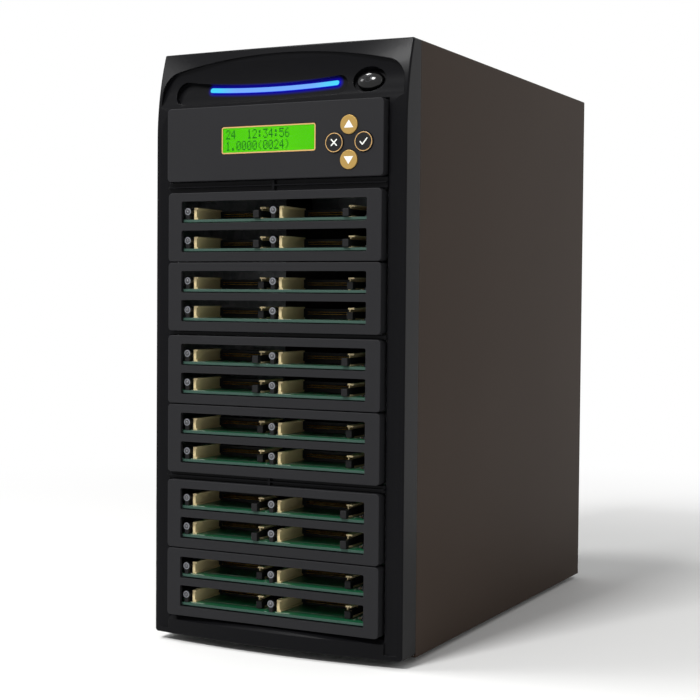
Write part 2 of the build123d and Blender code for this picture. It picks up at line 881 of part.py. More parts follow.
def bay_cage():
    front = face_y + cage_front
    rear = face_y + cage_rear
    floor = base_z + sheet
    top = case_top - sheet
    wall = span_box((cage_x, cage_x + sheet), (seam_y, rear), (floor, top))
    nose = (opening_floor + seat, opening_top - seat)
    wall += span_box((cage_x, cage_x + sheet), (front, seam_y), nose)
    outward = (cage_x + sheet, cage_x + sheet + cage_flange - 2 * sheet_gap)
    reach = (cage_x + sheet, inner_reach)
    flange_z = (base_z + sheet + base_flange + sheet_gap, case_top - sheet - flange - sheet)
    inward = (cage_x - rear_flange, cage_x)
    wall += span_box(reach, (seam_y, seam_y + sheet), flange_z)
    wall += span_box(outward, (rear - sheet, rear), flange_z)
    wall += span_box(outward, (seam_y + sheet, rear), (floor, floor + sheet))
    wall += span_box(inward, (seam_y + sheet, rear), (top - sheet, top))
    tab = (cage_x - cage_tab, cage_x)
    for bottom in bay_bottom.values():
        shelf = bottom + rail_lift - seat
        wall += span_box(tab, (front, face_y + rail_rear), (shelf - sheet, shelf))
    shelf = control_bottom + controller_lift
    wall += span_box(tab, (face_y + controller_front, face_y + controller_rear), (shelf - sheet, shelf))
    return mirrored(wall)


def controller_board():
    half = cage_x - cage_tab / 2
    bottom = control_bottom + controller_lift
    depth = (face_y + controller_front, face_y + controller_rear)
    return span_box((-half, half), depth, (bottom, bottom + board_thickness))


def base_plate():
    front = seam_y + 2 * sheet_gap
    body = span_box((-inner_reach, inner_reach), (front, cavity_y), (base_z, base_z + sheet))
    upright = (base_z + sheet, base_z + sheet + base_flange)
    for side in (-1, 1):
        edge = sorted((side * inner_reach, side * (inner_reach - sheet)))
        body += span_box(edge, (front, cavity_y), upright)
    body += span_box((-inner_reach, inner_reach), (cavity_y - sheet, cavity_y), upright)
    return body


def rubber_feet():
    feet = []
    for x in (-1, 1):
        for y in (-1, 1):
            place = (x * (half_width - foot_inset_x), y * (total_depth / 2 - foot_inset_y), base_z / 2)
            foot = Pos(*place) * Cylinder(foot_radius, base_z)
            feet.append(chamfer(edges_near(foot, "z", 0), foot_chamfer))
    return feet


def side_panel():
    """The right side panel with its folded edges."""
    front = seam_y + 2 * sheet_gap
    x = (panel_inner, half_width)
    body = span_box(x, (front, rear_sheet_y), (ground_gap, case_top))
    fold = (half_width - flange, panel_inner)
    body += span_box(fold, (front, rear_sheet_y), (case_top - sheet, case_top))
    body += span_box(fold, (front, rear_sheet_y), (ground_gap, base_z))
    rear = (rear_sheet_y - sheet, rear_sheet_y)
    body += span_box((rear_flange_x, panel_inner), rear, (ground_gap, case_top))
    for x, z in case_screw_places:
        body -= rod(screw_radius + screw_clearance, x, z, (cavity_y, total_depth / 2))
    return fillet(edges_near(edges_near(body, "x", half_width), "z", case_top), fold_radius)


def top_panel():
    front = seam_y + 2 * sheet_gap
    half = half_width - flange - 2 * sheet_gap
    top = (case_top - sheet, case_top)
    rear_half = rear_flange_x - 2 * sheet_gap
    body = span_box((-half, half), (front, cavity_y), top)
    body += span_box((-rear_half, rear_half), (cavity_y, rear_sheet_y), top)
    drop = (case_top - sheet - flange, case_top - sheet)
    for side in (-1, 1):
        edge = sorted((side * half, side * (half - sheet)))
        body += span_box(edge, (front, cavity_y - sheet), drop)
    body += span_box((-rear_half, rear_half), (rear_sheet_y - sheet, rear_sheet_y), drop)
    return body


def rear_panel():
    bottom = base_z + sheet
    top = case_top - sheet - sheet_gap
    body = span_box((-inner_reach, inner_reach), (cavity_y, rear_panel_y), (bottom, top))
    deep = (cavity_y - sheet, rear_panel_y + sheet)
    cut_x = supply_width / 2 - supply_rim
    cut_z = supply_height / 2 - supply_rim
    cut = span_box((-cut_x, cut_x), deep, (supply_z - cut_z, supply_z + cut_z))
    for x in (-1, 1):
        for z in (-1, 1):
            corner = Pos(x * cut_x, rear_panel_y, supply_z + z * cut_z)
            cut -= corner * Box(supply_corner, 4 * sheet, supply_corner)
    body -= cut
    radius = fan_bore / 2
    for step in range(grille_slots):
        offset = (step - (grille_slots - 1) / 2) * grille_pitch
        half = math.sqrt(radius ** 2 - (abs(offset) + grille_slot_height / 2) ** 2)
        end_radius = grille_slot_height / 2 - sheet_gap
        body -= plate(2 * half, grille_slot_height, end_radius, 0, fan_z + offset, deep)
    for x, z in case_screw_places + supply_screw_places + fan_screw_places:
        body -= rod(screw_radius + screw_clearance, x, z, deep)
    return body


def power_supply():
    rear = cavity_y
    front = rear - supply_depth
    half = supply_width / 2
    bottom = supply_z - supply_height / 2
    body = span_box((-half, half), (front, rear), (bottom, supply_top))
    inner = half - sheet
    body -= span_box((-inner, inner), (front + sheet, rear - sheet), (bottom + sheet, supply_top - sheet))
    rear_wall = (rear - 2 * sheet, rear + sheet)
    gap = 2 * sheet_gap
    body -= plate(inlet_width + gap, inlet_height + gap, sheet, inlet_x, supply_z, rear_wall)
    for x, z in supply_screw_places:
        body -= rod(screw_radius + screw_clearance, x, z, rear_wall)
    front_wall = (front - sheet, front + 2 * sheet)
    for step in range(vent_slots):
        offset = (step - (vent_slots - 1) / 2) * vent_pitch
        rear_x = -inlet_x / 2 + offset
        body -= plate(vent_slot_width, vent_height, sheet, rear_x, supply_z, rear_wall)
        body -= plate(vent_slot_width, vent_height, sheet, offset, supply_z, front_wall)
    return body


def mains_inlet():
    """The inlet with its three pins, and the housing of the rocker above it."""
    rear = inlet_face
    rim_width = inlet_width + 2 * inlet_rim
    rim_height = inlet_height + 2 * inlet_rim
    body = plate(inlet_width, inlet_height, sheet, inlet_x, supply_z, (rear - inlet_depth, rear))
    body += plate(rim_width, rim_height, inlet_rim, inlet_x, supply_z, (rear - inlet_rim, rear))
    socket_floor = rear - socket_depth
    half_x = socket_width / 2
    half_z = socket_height / 2
    bevel = socket_height / 4
    outline = Polyline(
        (-half_x, -half_z),
        (half_x, -half_z),
        (half_x, half_z - bevel),
        (half_x - bevel, half_z),
        (bevel - half_x, half_z),
        (-half_x, half_z - bevel),
        close=True,
    )
    opening = Pos(inlet_x, socket_z) * make_face(outline)
    body -= extrude(front_plane(socket_floor) * opening, -2 * socket_depth)
    pin_y = (socket_floor - sheet, socket_floor + pin_length)
    pin_half = pin_height / 2
    for dx, dz in ((-pin_pitch / 2, 0.0), (0.0, pin_height), (pin_pitch / 2, 0.0)):
        x = inlet_x + dx
        z = socket_z + dz
        body += span_box((x - pin_width / 2, x + pin_width / 2), pin_y, (z - pin_half, z + pin_half))
    hole_x = rocker_width / 2 + rocker_gap
    hole_z = rocker_length / 2 + rocker_gap
    body -= span_box(
        (inlet_x - hole_x, inlet_x + hole_x),
        (rear - rocker_depth, rear + sheet),
        (rocker_z - hole_z, rocker_z + hole_z),
    )
    bore = Pos(inlet_x, rocker_pivot_y, rocker_z) * Rot(0, 90, 0)
    body -= bore * Cylinder(rocker_pin_radius + rocker_pin_gap, 2 * (hole_x + rocker_pin_reach))
    return body


def mains_rocker():
    half = rocker_length / 2
    outline = Polyline(
        (-rocker_foot, -half + rocker_gap),
        (rocker_crest, -half),
        (rocker_middle, 0),
        (rocker_crest, half),
        (-rocker_foot, half - rocker_gap),
        close=True,
    )
    body = extrude(Plane.YZ * make_face(outline), rocker_width / 2, both=True)
    reach = rocker_width / 2 + rocker_gap + rocker_pin_reach - rocker_pin_gap
    body += Rot(0, 90, 0) * Cylinder(rocker_pin_radius, 2 * reach)
    return Pos(inlet_x, rocker_pivot_y, rocker_z) * Rot(rocker_tilt, 0, 0) * body


def fan_frame():
    depth = (fan_front, cavity_y)
    body = plate(fan_size, fan_size, fan_corner, 0, fan_z, depth)
    body -= rod(fan_bore / 2, 0, fan_z, (fan_front - sheet, cavity_y + sheet))
    motor = (fan_front, fan_front + fan_motor_depth)
    body += rod(fan_hub / 2, 0, fan_z, motor)
    for angle in (45, 135):
        strut = Box(fan_bore + 2 * sheet, fan_motor_depth / 2, fan_motor_depth)
        body += Pos(0, fan_front + fan_motor_depth / 4, fan_z) * Rot(0, angle, 0) * strut
    for x, z in fan_screw_places:
        body -= rod(fan_screw_radius, x, z, (fan_front - sheet, cavity_y + sheet))
    return body - rod(fan_shaft_radius + fan_shaft_gap, 0, fan_z, (fan_front + sheet, cavity_y))


def fan_rotor():
    hub_front = fan_front + fan_motor_depth + seat
    hub_rear = cavity_y - sheet - seat
    tip = fan_bore / 2 - fan_tip_gap
    hub = rod(fan_hub / 2, 0, fan_z, (hub_front, hub_rear))
    hub = fillet(edges_near(hub, "y", hub_rear), sheet)
    middle = (hub_front + hub_rear) / 2
    ring = rod(tip, 0, fan_z, (hub_front, hub_rear))
    blades = []
    for step in range(fan_blades):
        turn = Pos(0, middle, fan_z) * Rot(0, 360 / fan_blades * step, 0)
        blade = Box(tip + fan_hub / 4, fan_blade_wall, fan_blade_depth)
        pitched = Pos((tip + fan_hub / 4) / 2, 0, 0) * Rot(90 - fan_blade_pitch, 0, 0) * blade
        blades.append((turn * pitched) & ring)
    for blade in blades:
        hub += blade
    shaft_end = fan_front + sheet + seat
    return hub + rod(fan_shaft_radius, 0, fan_z, (shaft_end, hub_front))


def case_screws():
    screws = []
    seats = [(place, rear_sheet_y) for place in case_screw_places]
    seats += [(place, rear_panel_y) for place in supply_screw_places + fan_screw_places]
    for (x, z), y in seats:
        head = rod(screw_head_radius, x, z, (y, y + screw_head_height))
        head = fillet(edges_near(head, "y", y + screw_head_height), screw_head_height / 2)
        screws.append(head + rod(screw_radius, x, z, (y - screw_length, y)))
    return screws


def write(name, shape):
    """Writes one piece, or several alike, to its STEP file."""
    if isinstance(shape, list):
        shape = Compound(children=[Solid(one.solid().wrapped) for one in shape])
    export_step(shape, os.path.join("parts", name + ".step"))


def write_all():
    os.makedirs("parts", exist_ok=True)
    pieces = {
        "front_bezel": front_bezel(),
        "light_bar": light_bar(),
        "power_button": power_button(),
        "indicator_board": indicator_board(),
        "control_plate": control_plate(),
        "lcd_window": lcd_window(),
        "control_board": control_board(),
        "side_rails": side_rails(),
        "reader_boards": reader_boards(),
        "socket_headers": socket_headers(),
        "card_guides": card_guides(),
        "status_lights": status_lights(),
        "bay_cage": bay_cage(),
        "controller_board": controller_board(),
        "base_plate": base_plate(),
        "rubber_feet": rubber_feet(),
        "right_side_panel": side_panel(),
        "left_side_panel": mirror(side_panel(), Plane.YZ),
        "top_panel": top_panel(),
        "rear_panel": rear_panel(),
        "power_supply": power_supply(),
        "mains_inlet": mains_inlet(),
        "mains_rocker": mains_rocker(),
        "fan_frame": fan_frame(),
        "fan_rotor": fan_rotor(),
        "case_screws": case_screws(),
    }
    for name in key_places:
        pieces[name] = key(name)
    for bay in bay_bottom:
        pieces["bay_panel_" + str(bay)] = bay_panel(bay)
    for bay, row, side in slots:
        pieces["ejector_" + str(bay) + "_" + row + "_" + side] = ejector(bay, row, side)
    for name, shape in pieces.items():
        write(name, shape)


write_all()
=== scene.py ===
import json
import math

import bmesh
import bpy
from mathutils import Matrix, Vector


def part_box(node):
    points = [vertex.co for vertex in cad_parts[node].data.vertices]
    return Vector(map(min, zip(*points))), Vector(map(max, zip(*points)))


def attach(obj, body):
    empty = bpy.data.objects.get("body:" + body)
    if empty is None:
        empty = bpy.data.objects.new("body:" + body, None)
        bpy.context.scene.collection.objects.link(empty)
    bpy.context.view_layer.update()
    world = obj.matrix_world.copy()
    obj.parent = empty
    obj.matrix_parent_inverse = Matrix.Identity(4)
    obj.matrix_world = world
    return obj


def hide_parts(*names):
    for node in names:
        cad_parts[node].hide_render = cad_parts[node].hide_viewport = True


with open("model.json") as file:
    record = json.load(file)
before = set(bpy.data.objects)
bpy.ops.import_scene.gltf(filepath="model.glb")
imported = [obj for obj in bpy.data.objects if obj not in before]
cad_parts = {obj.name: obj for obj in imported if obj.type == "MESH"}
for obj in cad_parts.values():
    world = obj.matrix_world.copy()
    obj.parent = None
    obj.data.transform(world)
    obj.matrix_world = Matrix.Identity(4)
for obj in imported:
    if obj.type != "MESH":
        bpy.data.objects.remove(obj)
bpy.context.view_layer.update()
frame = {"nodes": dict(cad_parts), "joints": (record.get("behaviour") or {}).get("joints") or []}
nodes = frame["nodes"]
mm = 0.001
print("frame loaded,", len(nodes), "nodes")


# Camera, fitted to the edges of the case and of the bays in the photograph

cameraView = {
    "place": (444.3, -942.95, 218.8),   # mm
    "turn": 26.732,                     # degrees to the left
    "dip": 2.131,                       # degrees down
    "roll": 0.475,                      # degrees clockwise
    "lens": 76.47,
}


def placeCamera(view):
    turn, dip, roll = (math.radians(view[name]) for name in ("turn", "dip", "roll"))
    ahead = Vector((-math.sin(turn), math.cos(turn), 0))
    right = Vector((math.cos(turn), math.sin(turn), 0))
    up = Vector((0, 0, 1)) * math.cos(dip) + ahead * math.sin(dip)
    ahead = ahead * math.cos(dip) - Vector((0, 0, 1)) * math.sin(dip)
    rolledRight = right * math.cos(roll) + up * math.sin(roll)
    rolledUp = up * math.cos(roll) - right * math.sin(roll)
    camera = bpy.data.objects.new("Camera", bpy.data.cameras.new("Camera"))
    camera.data.lens = view["lens"]
    camera.data.sensor_width = 36
    camera.data.clip_end = 20
    turned = Matrix((rolledRight, rolledUp, -ahead)).transposed().to_4x4()
    camera.matrix_world = Matrix.Translation(Vector(view["place"]) * mm) @ turned
    bpy.context.scene.collection.objects.link(camera)
    bpy.context.scene.camera = camera


placeCamera(cameraView)
print("camera placed")


# Tools for materials

# sRGB hex to linear
def colour(code):
    channels = []
    for start in (1, 3, 5):
        value = int(code[start:start + 2], 16) / 255
        channels.append(value / 12.92 if value <= 0.04045 else ((value + 0.055) / 1.055) ** 2.4)
    return (*channels, 1.0)


def addNode(tree, kind, settings=None, sockets=None):
    node = tree.nodes.new("ShaderNode" + kind)
    for name, value in (settings or {}).items():
        setattr(node, name, value)
    for name, value in (sockets or {}).items():
        if isinstance(value, bpy.types.NodeSocket):
            tree.links.new(value, node.inputs[name])
        else:
            node.inputs[name].default_value = value
    return node


def newMaterial(name):
    material = bpy.data.materials.new(name)
    material.use_nodes = True
    tree = material.node_tree
    tree.nodes.clear()
    return material, tree


def closeMaterial(tree, surface):
    addNode(tree, "OutputMaterial", None, {"Surface": surface})


# Texture scale for a pattern whose grain is this many mm
def perMetre(size):
    return 1000 / size


# Any moulded plastic: even colour, a skin with a grain of its own, softened edges, and where asked a painted
# glow that stands in for light a nearby lamp throws on it
def mouldedPlastic(name, base, roughness, grain, depth, level=0.3, wander=0.06, edge=0.25, paintedGlow=None):
    material, tree = newMaterial(name)
    where = addNode(tree, "TexCoord").outputs["Object"]
    skin = addNode(tree, "TexNoise", None, {"Vector": where, "Scale": perMetre(grain), "Detail": 3.0})
    cloud = addNode(tree, "TexNoise", None, {"Vector": where, "Scale": perMetre(60), "Detail": 2.0})
    rough = addNode(tree, "MapRange", None, {
        "Value": cloud.outputs["Fac"],
        "To Min": roughness - wander,
        "To Max": roughness + wander,
    })
    rounded = addNode(tree, "Bevel", {"samples": 4}, {"Radius": edge * mm})
    bump = addNode(tree, "Bump", None, {
        "Height": skin.outputs["Fac"],
        "Distance": depth * mm,
        "Strength": 1.0,
        "Normal": rounded.outputs["Normal"],
    })
    shade = addNode(tree, "Mix", {"data_type": "RGBA"}, {
        0: cloud.outputs["Fac"],
        6: colour(base),
        7: [c * 0.86 for c in colour(base)[:3]] + [1.0],
    })
    sockets = {
        "Base Color": shade.outputs[2],
        "Roughness": rough.outputs["Result"],
        "IOR": 1.53,
        "Specular IOR Level": level,
        "Normal": bump.outputs["Normal"],
    }
    # painted glow: blue emission in the plastic itself, standing in for light thrown on it by a nearby lamp
    if paintedGlow:
        sockets["Emission Color"] = colour(paintedSpill["colour"])
        sockets["Emission Strength"] = paintedGlow(tree, where)
    shader = addNode(tree, "BsdfPrincipled", None, sockets)
    closeMaterial(tree, shader.outputs["BSDF"])
    return material


# Materials

# painted glow: deep blue emission in the moulding round the light bar, standing in for the light the bar
# throws on it, gone within a few mm
barLow, barHigh = (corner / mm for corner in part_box("light_bar"))
paintedSpill = {
    "colour": "#180CF0",
    "middle": (barLow.x + barHigh.x) / 2,   # mm
    "height": barHigh.z - 3.0,              # the bar's middle line at its ends
    "half": (barHigh.x - barLow.x) / 2 - 3.0,
    "sag": 1.5,
    "near": 1.2,
    "far": 4.4,
    "strength": 0.42,
}


# strength of the painted glow: full along the bar's middle line and past its ends, fading to nothing a few mm
# away
def paintedBarGlow(tree, where):
    place = addNode(tree, "SeparateXYZ", None, {"Vector": where})
    along = addNode(tree, "Math", {"operation": "SUBTRACT"}, {
        0: place.outputs["X"],
        1: paintedSpill["middle"] * mm,
    })
    reach = addNode(tree, "Math", {"operation": "ABSOLUTE"}, {0: along.outputs[0]})
    share = addNode(tree, "Math", {"operation": "DIVIDE"}, {0: along.outputs[0], 1: paintedSpill["half"] * mm})
    bend = addNode(tree, "Math", {"operation": "MULTIPLY"}, {0: share.outputs[0], 1: share.outputs[0]})
    line = addNode(tree, "MapRange", None, {
        "Value": bend.outputs[0],
        "To Min": (paintedSpill["height"] - paintedSpill["sag"]) * mm,
        "To Max": paintedSpill["height"] * mm,
    })
    above = addNode(tree, "Math", {"operation": "SUBTRACT"}, {
        0: place.outputs["Z"],
        1: line.outputs["Result"],
    })
    past = addNode(tree, "Math", {"operation": "SUBTRACT"}, {
        0: reach.outputs[0],
        1: paintedSpill["half"] * mm,
    })
    outside = addNode(tree, "Math", {"operation": "MAXIMUM"}, {0: past.outputs[0], 1: 0.0})
    offset = addNode(tree, "CombineXYZ", None, {"X": outside.outputs[0], "Y": above.outputs[0]})
    distance = addNode(tree, "VectorMath", {"operation": "LENGTH"}, {0: offset.outputs[0]})
    fall = addNode(tree, "MapRange", {"interpolation_type": "SMOOTHSTEP"}, {
        "Value": distance.outputs["Value"],
        "From Min": paintedSpill["near"] * mm,
        "From Max": paintedSpill["far"] * mm,
        "To Min": paintedSpill["strength"],
        "To Max": 0.0,
    })
    return fall.outputs["Result"]


# satin ABS moulding: near black, the lights slide over it in long soft streaks; a painted deep blue glow
# round the light bar stands in for the light the bar throws on it
satinAbsAndPaintedGlow = mouldedPlastic(
    "SatinBlackAbsWithPaintedGlow", "#0F0F11", 0.23, 9.0, 0.012, level=0.05, wander=0.03, edge=0.5, paintedGlow=paintedBarGlow
)

# polished ABS: black, with small hard highlights
polishedAbs = mouldedPlastic("PolishedBlackAbs", "#0A0A0B", 0.12, 9.0, 0.01, level=0.3, wander=0.03, edge=0.4)

# spark-eroded ABS: charcoal, a fine dull grain. The real grain is 0.3 mm, drawn at 0.9 mm to show
erodedAbs = mouldedPlastic("ErodedCharcoalAbs", "#222224", 0.52, 0.9, 0.03, level=0.1, edge=0.3)

# glass-filled nylon straight from the mould: dull black
mouldedNylon = mouldedPlastic("MouldedBlackNylon", "#1A1A1B", 0.46, 1.2, 0.02, level=0.12)

# PBT, moulded: beige, slightly waxy
mouldedPbt = mouldedPlastic("MouldedBeigePbt", "#E4D0A0", 0.42, 2.0, 0.02)

# polypropylene, moulded: soft grey rim round each lamp
mouldedPolypropylene = mouldedPlastic("MouldedPalePolypropylene", "#75777C", 0.4, 2.0, 0.015)

# vulcanised rubber: black, no shine
vulcanisedRubber = mouldedPlastic("VulcanisedRubber", "#101010", 0.85, 0.8, 0.05, level=0.15)

# lacquered ABS: warm gold with a satin gleam
lacquerGold = {"base": "#A9894A", "roughness": 0.34, "metallic": 0.55}


def lacqueredGold():
    material, tree = newMaterial("LacqueredGoldAbs")
    where = addNode(tree, "TexCoord").outputs["Object"]
    flake = addNode(tree, "TexNoise", None, {"Vector": where, "Scale": perMetre(0.7), "Detail": 2.0})
    tone = addNode(tree, "MapRange", None, {
        "Value": flake.outputs["Fac"],
        "To Min": lacquerGold["roughness"] - 0.06,
        "To Max": lacquerGold["roughness"] + 0.06,
    })
    rounded = addNode(tree, "Bevel", {"samples": 4}, {"Radius": 0.2 * mm})
    bump = addNode(tree, "Bump", None, {
        "Height": flake.outputs["Fac"],
        "Distance": 0.01 * mm,
        "Strength": 0.6,
        "Normal": rounded.outputs["Normal"],
    })
    shader = addNode(tree, "BsdfPrincipled", None, {
        "Base Color": colour(lacquerGold["base"]),
        "Metallic": lacquerGold["metallic"],
        "Roughness": tone.outputs["Result"],
        "Normal": bump.outputs["Normal"],
    })
    closeMaterial(tree, shader.outputs["BSDF"])
    return material


goldLacquer = lacqueredGold()

# powder-coated steel: warm charcoal, an orange-peel skin about 1.5 mm across that breaks up the lights
powderCoat = {"base": "#332820", "worn": "#3A2F27", "roughness": 0.46, "peel": 1.6, "depth": 0.035}


def powderCoatedSteel():
    material, tree = newMaterial("PowderCoatedSteel")
    where = addNode(tree, "TexCoord").outputs["Object"]
    peel = addNode(tree, "TexNoise", None, {
        "Vector": where,
        "Scale": perMetre(powderCoat["peel"]),
        "Detail": 2.0,
        "Roughness": 0.4,
    })
    broad = addNode(tree, "TexNoise", None, {"Vector": where, "Scale": perMetre(120), "Detail": 2.0})
    tone = addNode(tree, "Mix", {"data_type": "RGBA"}, {
        0: broad.outputs["Fac"],
        6: colour(powderCoat["base"]),
        7: colour(powderCoat["worn"]),
    })
    rounded = addNode(tree, "Bevel", {"samples": 4}, {"Radius": 0.6 * mm})
    bump = addNode(tree, "Bump", None, {
        "Height": peel.outputs["Fac"],
        "Distance": powderCoat["depth"] * mm,
        "Strength": 1.0,
        "Normal": rounded.outputs["Normal"],
    })
    shader = addNode(tree, "BsdfPrincipled", None, {
        "Base Color": tone.outputs[2],
        "Roughness": powderCoat["roughness"],
        "IOR": 1.5,
        "Specular IOR Level": 0.04,
        "Normal": bump.outputs["Normal"],
    })
    closeMaterial(tree, shader.outputs["BSDF"])
    return material


caseCoat = powderCoatedSteel()

# hot-dip zinc on steel sheet: cool grey, with faint flat spangles some 6 mm across
zincPlate = {"light": "#B9BCBD", "dark": "#9EA2A4", "spangle": 6.0, "roughness": 0.36}


def zincedSteel():
    material, tree = newMaterial("ZincedSteelSheet")
    where = addNode(tree, "TexCoord").outputs["Object"]
    spangle = addNode(tree, "TexVoronoi", {"feature": "F1"}, {
        "Vector": where,
        "Scale": perMetre(zincPlate["spangle"]),
    })
    level = addNode(tree, "SeparateColor", None, {"Color": spangle.outputs["Color"]})
    tone = addNode(tree, "Mix", {"data_type": "RGBA"}, {
        0: level.outputs["Red"],
        6: colour(zincPlate["dark"]),
        7: colour(zincPlate["light"]),
    })
    rough = addNode(tree, "MapRange", None, {
        "Value": level.outputs["Green"],
        "To Min": zincPlate["roughness"] - 0.07,
        "To Max": zincPlate["roughness"] + 0.09,
    })
    rounded = addNode(tree, "Bevel", {"samples": 4}, {"Radius": 0.3 * mm})
    shader = addNode(tree, "BsdfPrincipled", None, {
        "Base Color": tone.outputs[2],
        "Metallic": 1.0,
        "Roughness": rough.outputs["Result"],
        "Normal": rounded.outputs["Normal"],
    })
    closeMaterial(tree, shader.outputs["BSDF"])
    return material


zincSheet = zincedSteel()

# glass-fibre board: green solder mask over copper tracks, dull dark teal along the cut edges
boardLook = {
    "mask": "#175A3A",
    "track": "#1F6E47",
    "edge": "#335549",
    "core": "#16382F",
    "trackPitch": 2.6,
}


def circuitBoard():
    material, tree = newMaterial("GlassFibreBoard")
    where = addNode(tree, "TexCoord").outputs["Object"]
    facing = addNode(tree, "SeparateXYZ", None, {"Vector": addNode(tree, "NewGeometry").outputs["Normal"]})
    flatness = addNode(tree, "Math", {"operation": "ABSOLUTE"}, {0: facing.outputs["Z"]})
    isTop = addNode(tree, "Math", {"operation": "GREATER_THAN"}, {0: flatness.outputs[0], 1: 0.5})
    tracks = addNode(tree, "TexBrick", {"offset": 0.5, "squash": 1.0}, {
        "Vector": where,
        "Color1": (1, 1, 1, 1),
        "Color2": (0.7, 0.7, 0.7, 1),
        "Mortar": (0, 0, 0, 1),
        "Scale": perMetre(boardLook["trackPitch"]) / 8,
        "Mortar Size": 0.012,
        "Brick Width": 2.4,
        "Row Height": 0.35,
    })
    mask = addNode(tree, "Mix", {"data_type": "RGBA"}, {
        0: tracks.outputs["Color"],
        6: colour(boardLook["track"]),
        7: colour(boardLook["mask"]),
    })
    fibre = addNode(tree, "TexNoise", None, {"Vector": where, "Scale": perMetre(0.8), "Detail": 2.0})
    edge = addNode(tree, "Mix", {"data_type": "RGBA"}, {
        0: fibre.outputs["Fac"],
        6: colour(boardLook["core"]),
        7: colour(boardLook["edge"]),
    })
    tone = addNode(tree, "Mix", {"data_type": "RGBA"}, {
        0: isTop.outputs[0],
        6: edge.outputs[2],
        7: mask.outputs[2],
    })
    rough = addNode(tree, "MapRange", None, {"Value": isTop.outputs[0], "To Min": 0.7, "To Max": 0.3})
    bump = addNode(tree, "Bump", None, {
        "Height": tracks.outputs["Color"],
        "Distance": 0.03 * mm,
        "Strength": 0.8,
    })
    shader = addNode(tree, "BsdfPrincipled", None, {
        "Base Color": tone.outputs[2],
        "Roughness": rough.outputs["Result"],
        "IOR": 1.55,
        "Normal": bump.outputs["Normal"],
    })
    closeMaterial(tree, shader.outputs["BSDF"])
    return material


greenBoard = circuitBoard()


# Small printed, plated or lit parts: one colour with a faint mottling
def plainSurface(name, base, roughness, metallic=0.0, grain=0.6, glow=0.0, level=0.5):
    material, tree = newMaterial(name)
    where = addNode(tree, "TexCoord").outputs["Object"]
    mottle = addNode(tree, "TexNoise", None, {"Vector": where, "Scale": perMetre(grain), "Detail": 2.0})
    tone = addNode(tree, "Mix", {"data_type": "RGBA"}, {
        0: mottle.outputs["Fac"],
        6: colour(base),
        7: [c * 0.88 for c in colour(base)[:3]] + [1.0],
    })
    rough = addNode(tree, "MapRange", None, {
        "Value": mottle.outputs["Fac"],
        "To Min": roughness - 0.05,
        "To Max": roughness + 0.05,
    })
    sockets = {
        "Base Color": tone.outputs[2],
        "Metallic": metallic,
        "Roughness": rough.outputs["Result"],
        "Specular IOR Level": level,
    }
    if glow:
        sockets["Emission Color"] = tone.outputs[2]
        sockets["Emission Strength"] = glow
    shader = addNode(tree, "BsdfPrincipled", None, sockets)
    closeMaterial(tree, shader.outputs["BSDF"])
    return material


# screen-printed epoxy ink: chalky white legend
printedInk = plainSurface("ScreenPrintedWhiteInk", "#E6E8E2", 0.6)
# screen-printed ink: pale gold border round the display and the ringed keys
printedGold = plainSurface("ScreenPrintedGoldInk", "#C9A066", 0.45, level=0.2)
# gold flash on brass pins: warm and bright
goldPins = plainSurface("GoldFlashedBrass", "#D8B060", 0.28, metallic=1.0)
# tinned leads: soft silver
tinnedLeads = plainSurface("TinnedCopper", "#C4C6C8", 0.34, metallic=1.0)
# nickel-plated screws: bright and slightly warm
nickelPlate = plainSurface("NickelPlatedSteel", "#C9C6BE", 0.26, metallic=1.0, grain=1.5)
# blackened screws on the boards: dark, with only a dull gleam
blackenedSteel = plainSurface("BlackenedSteel", "#2C2C2E", 0.42, metallic=1.0, grain=1.5)
# moulded epoxy chip bodies: matt charcoal
chipEpoxy = plainSurface("MouldedChipEpoxy", "#1B1B1D", 0.55)
# fired ceramic capacitors: tan
firedCeramic = plainSurface("FiredCeramic", "#9A7B57", 0.5)
# dark green segments of the display
displayInk = plainSurface("LiquidCrystalSegment", "#06600E", 0.5, glow=0.4, level=0.1)
# pad-printed grey: the faint mark on the power button
symbolInk = plainSurface("PadPrintedGreyInk", "#2A2B2F", 0.45, level=0.1)
print("plastic, metal and board materials made")

# clear acrylic over the display: thin and flat, with a faint hard shine and no tint of its own
acrylicLook = {"tint": "#0A0C0A", "roughness": 0.05, "ior": 1.49, "cover": 0.12}


def clearAcrylic():
    material, tree = newMaterial("CastClearAcrylic")
    where = addNode(tree, "TexCoord").outputs["Object"]
    haze = addNode(tree, "TexNoise", None, {"Vector": where, "Scale": perMetre(25), "Detail": 2.0})
    rough = addNode(tree, "MapRange", None, {
        "Value": haze.outputs["Fac"],
        "To Min": 0.0,
        "To Max": acrylicLook["roughness"] * 2,
    })
    shader = addNode(tree, "BsdfPrincipled", None, {
        "Base Color": colour(acrylicLook["tint"]),
        "Roughness": rough.outputs["Result"],
        "IOR": acrylicLook["ior"],
        "Alpha": acrylicLook["cover"],
    })
    closeMaterial(tree, shader.outputs["BSDF"])
    return material


displayCover = clearAcrylic()

# backlit liquid crystal: even yellow-green, a shade brighter at the middle
backlight = {"edge": "#44B403", "middle": "#4CBC06"}


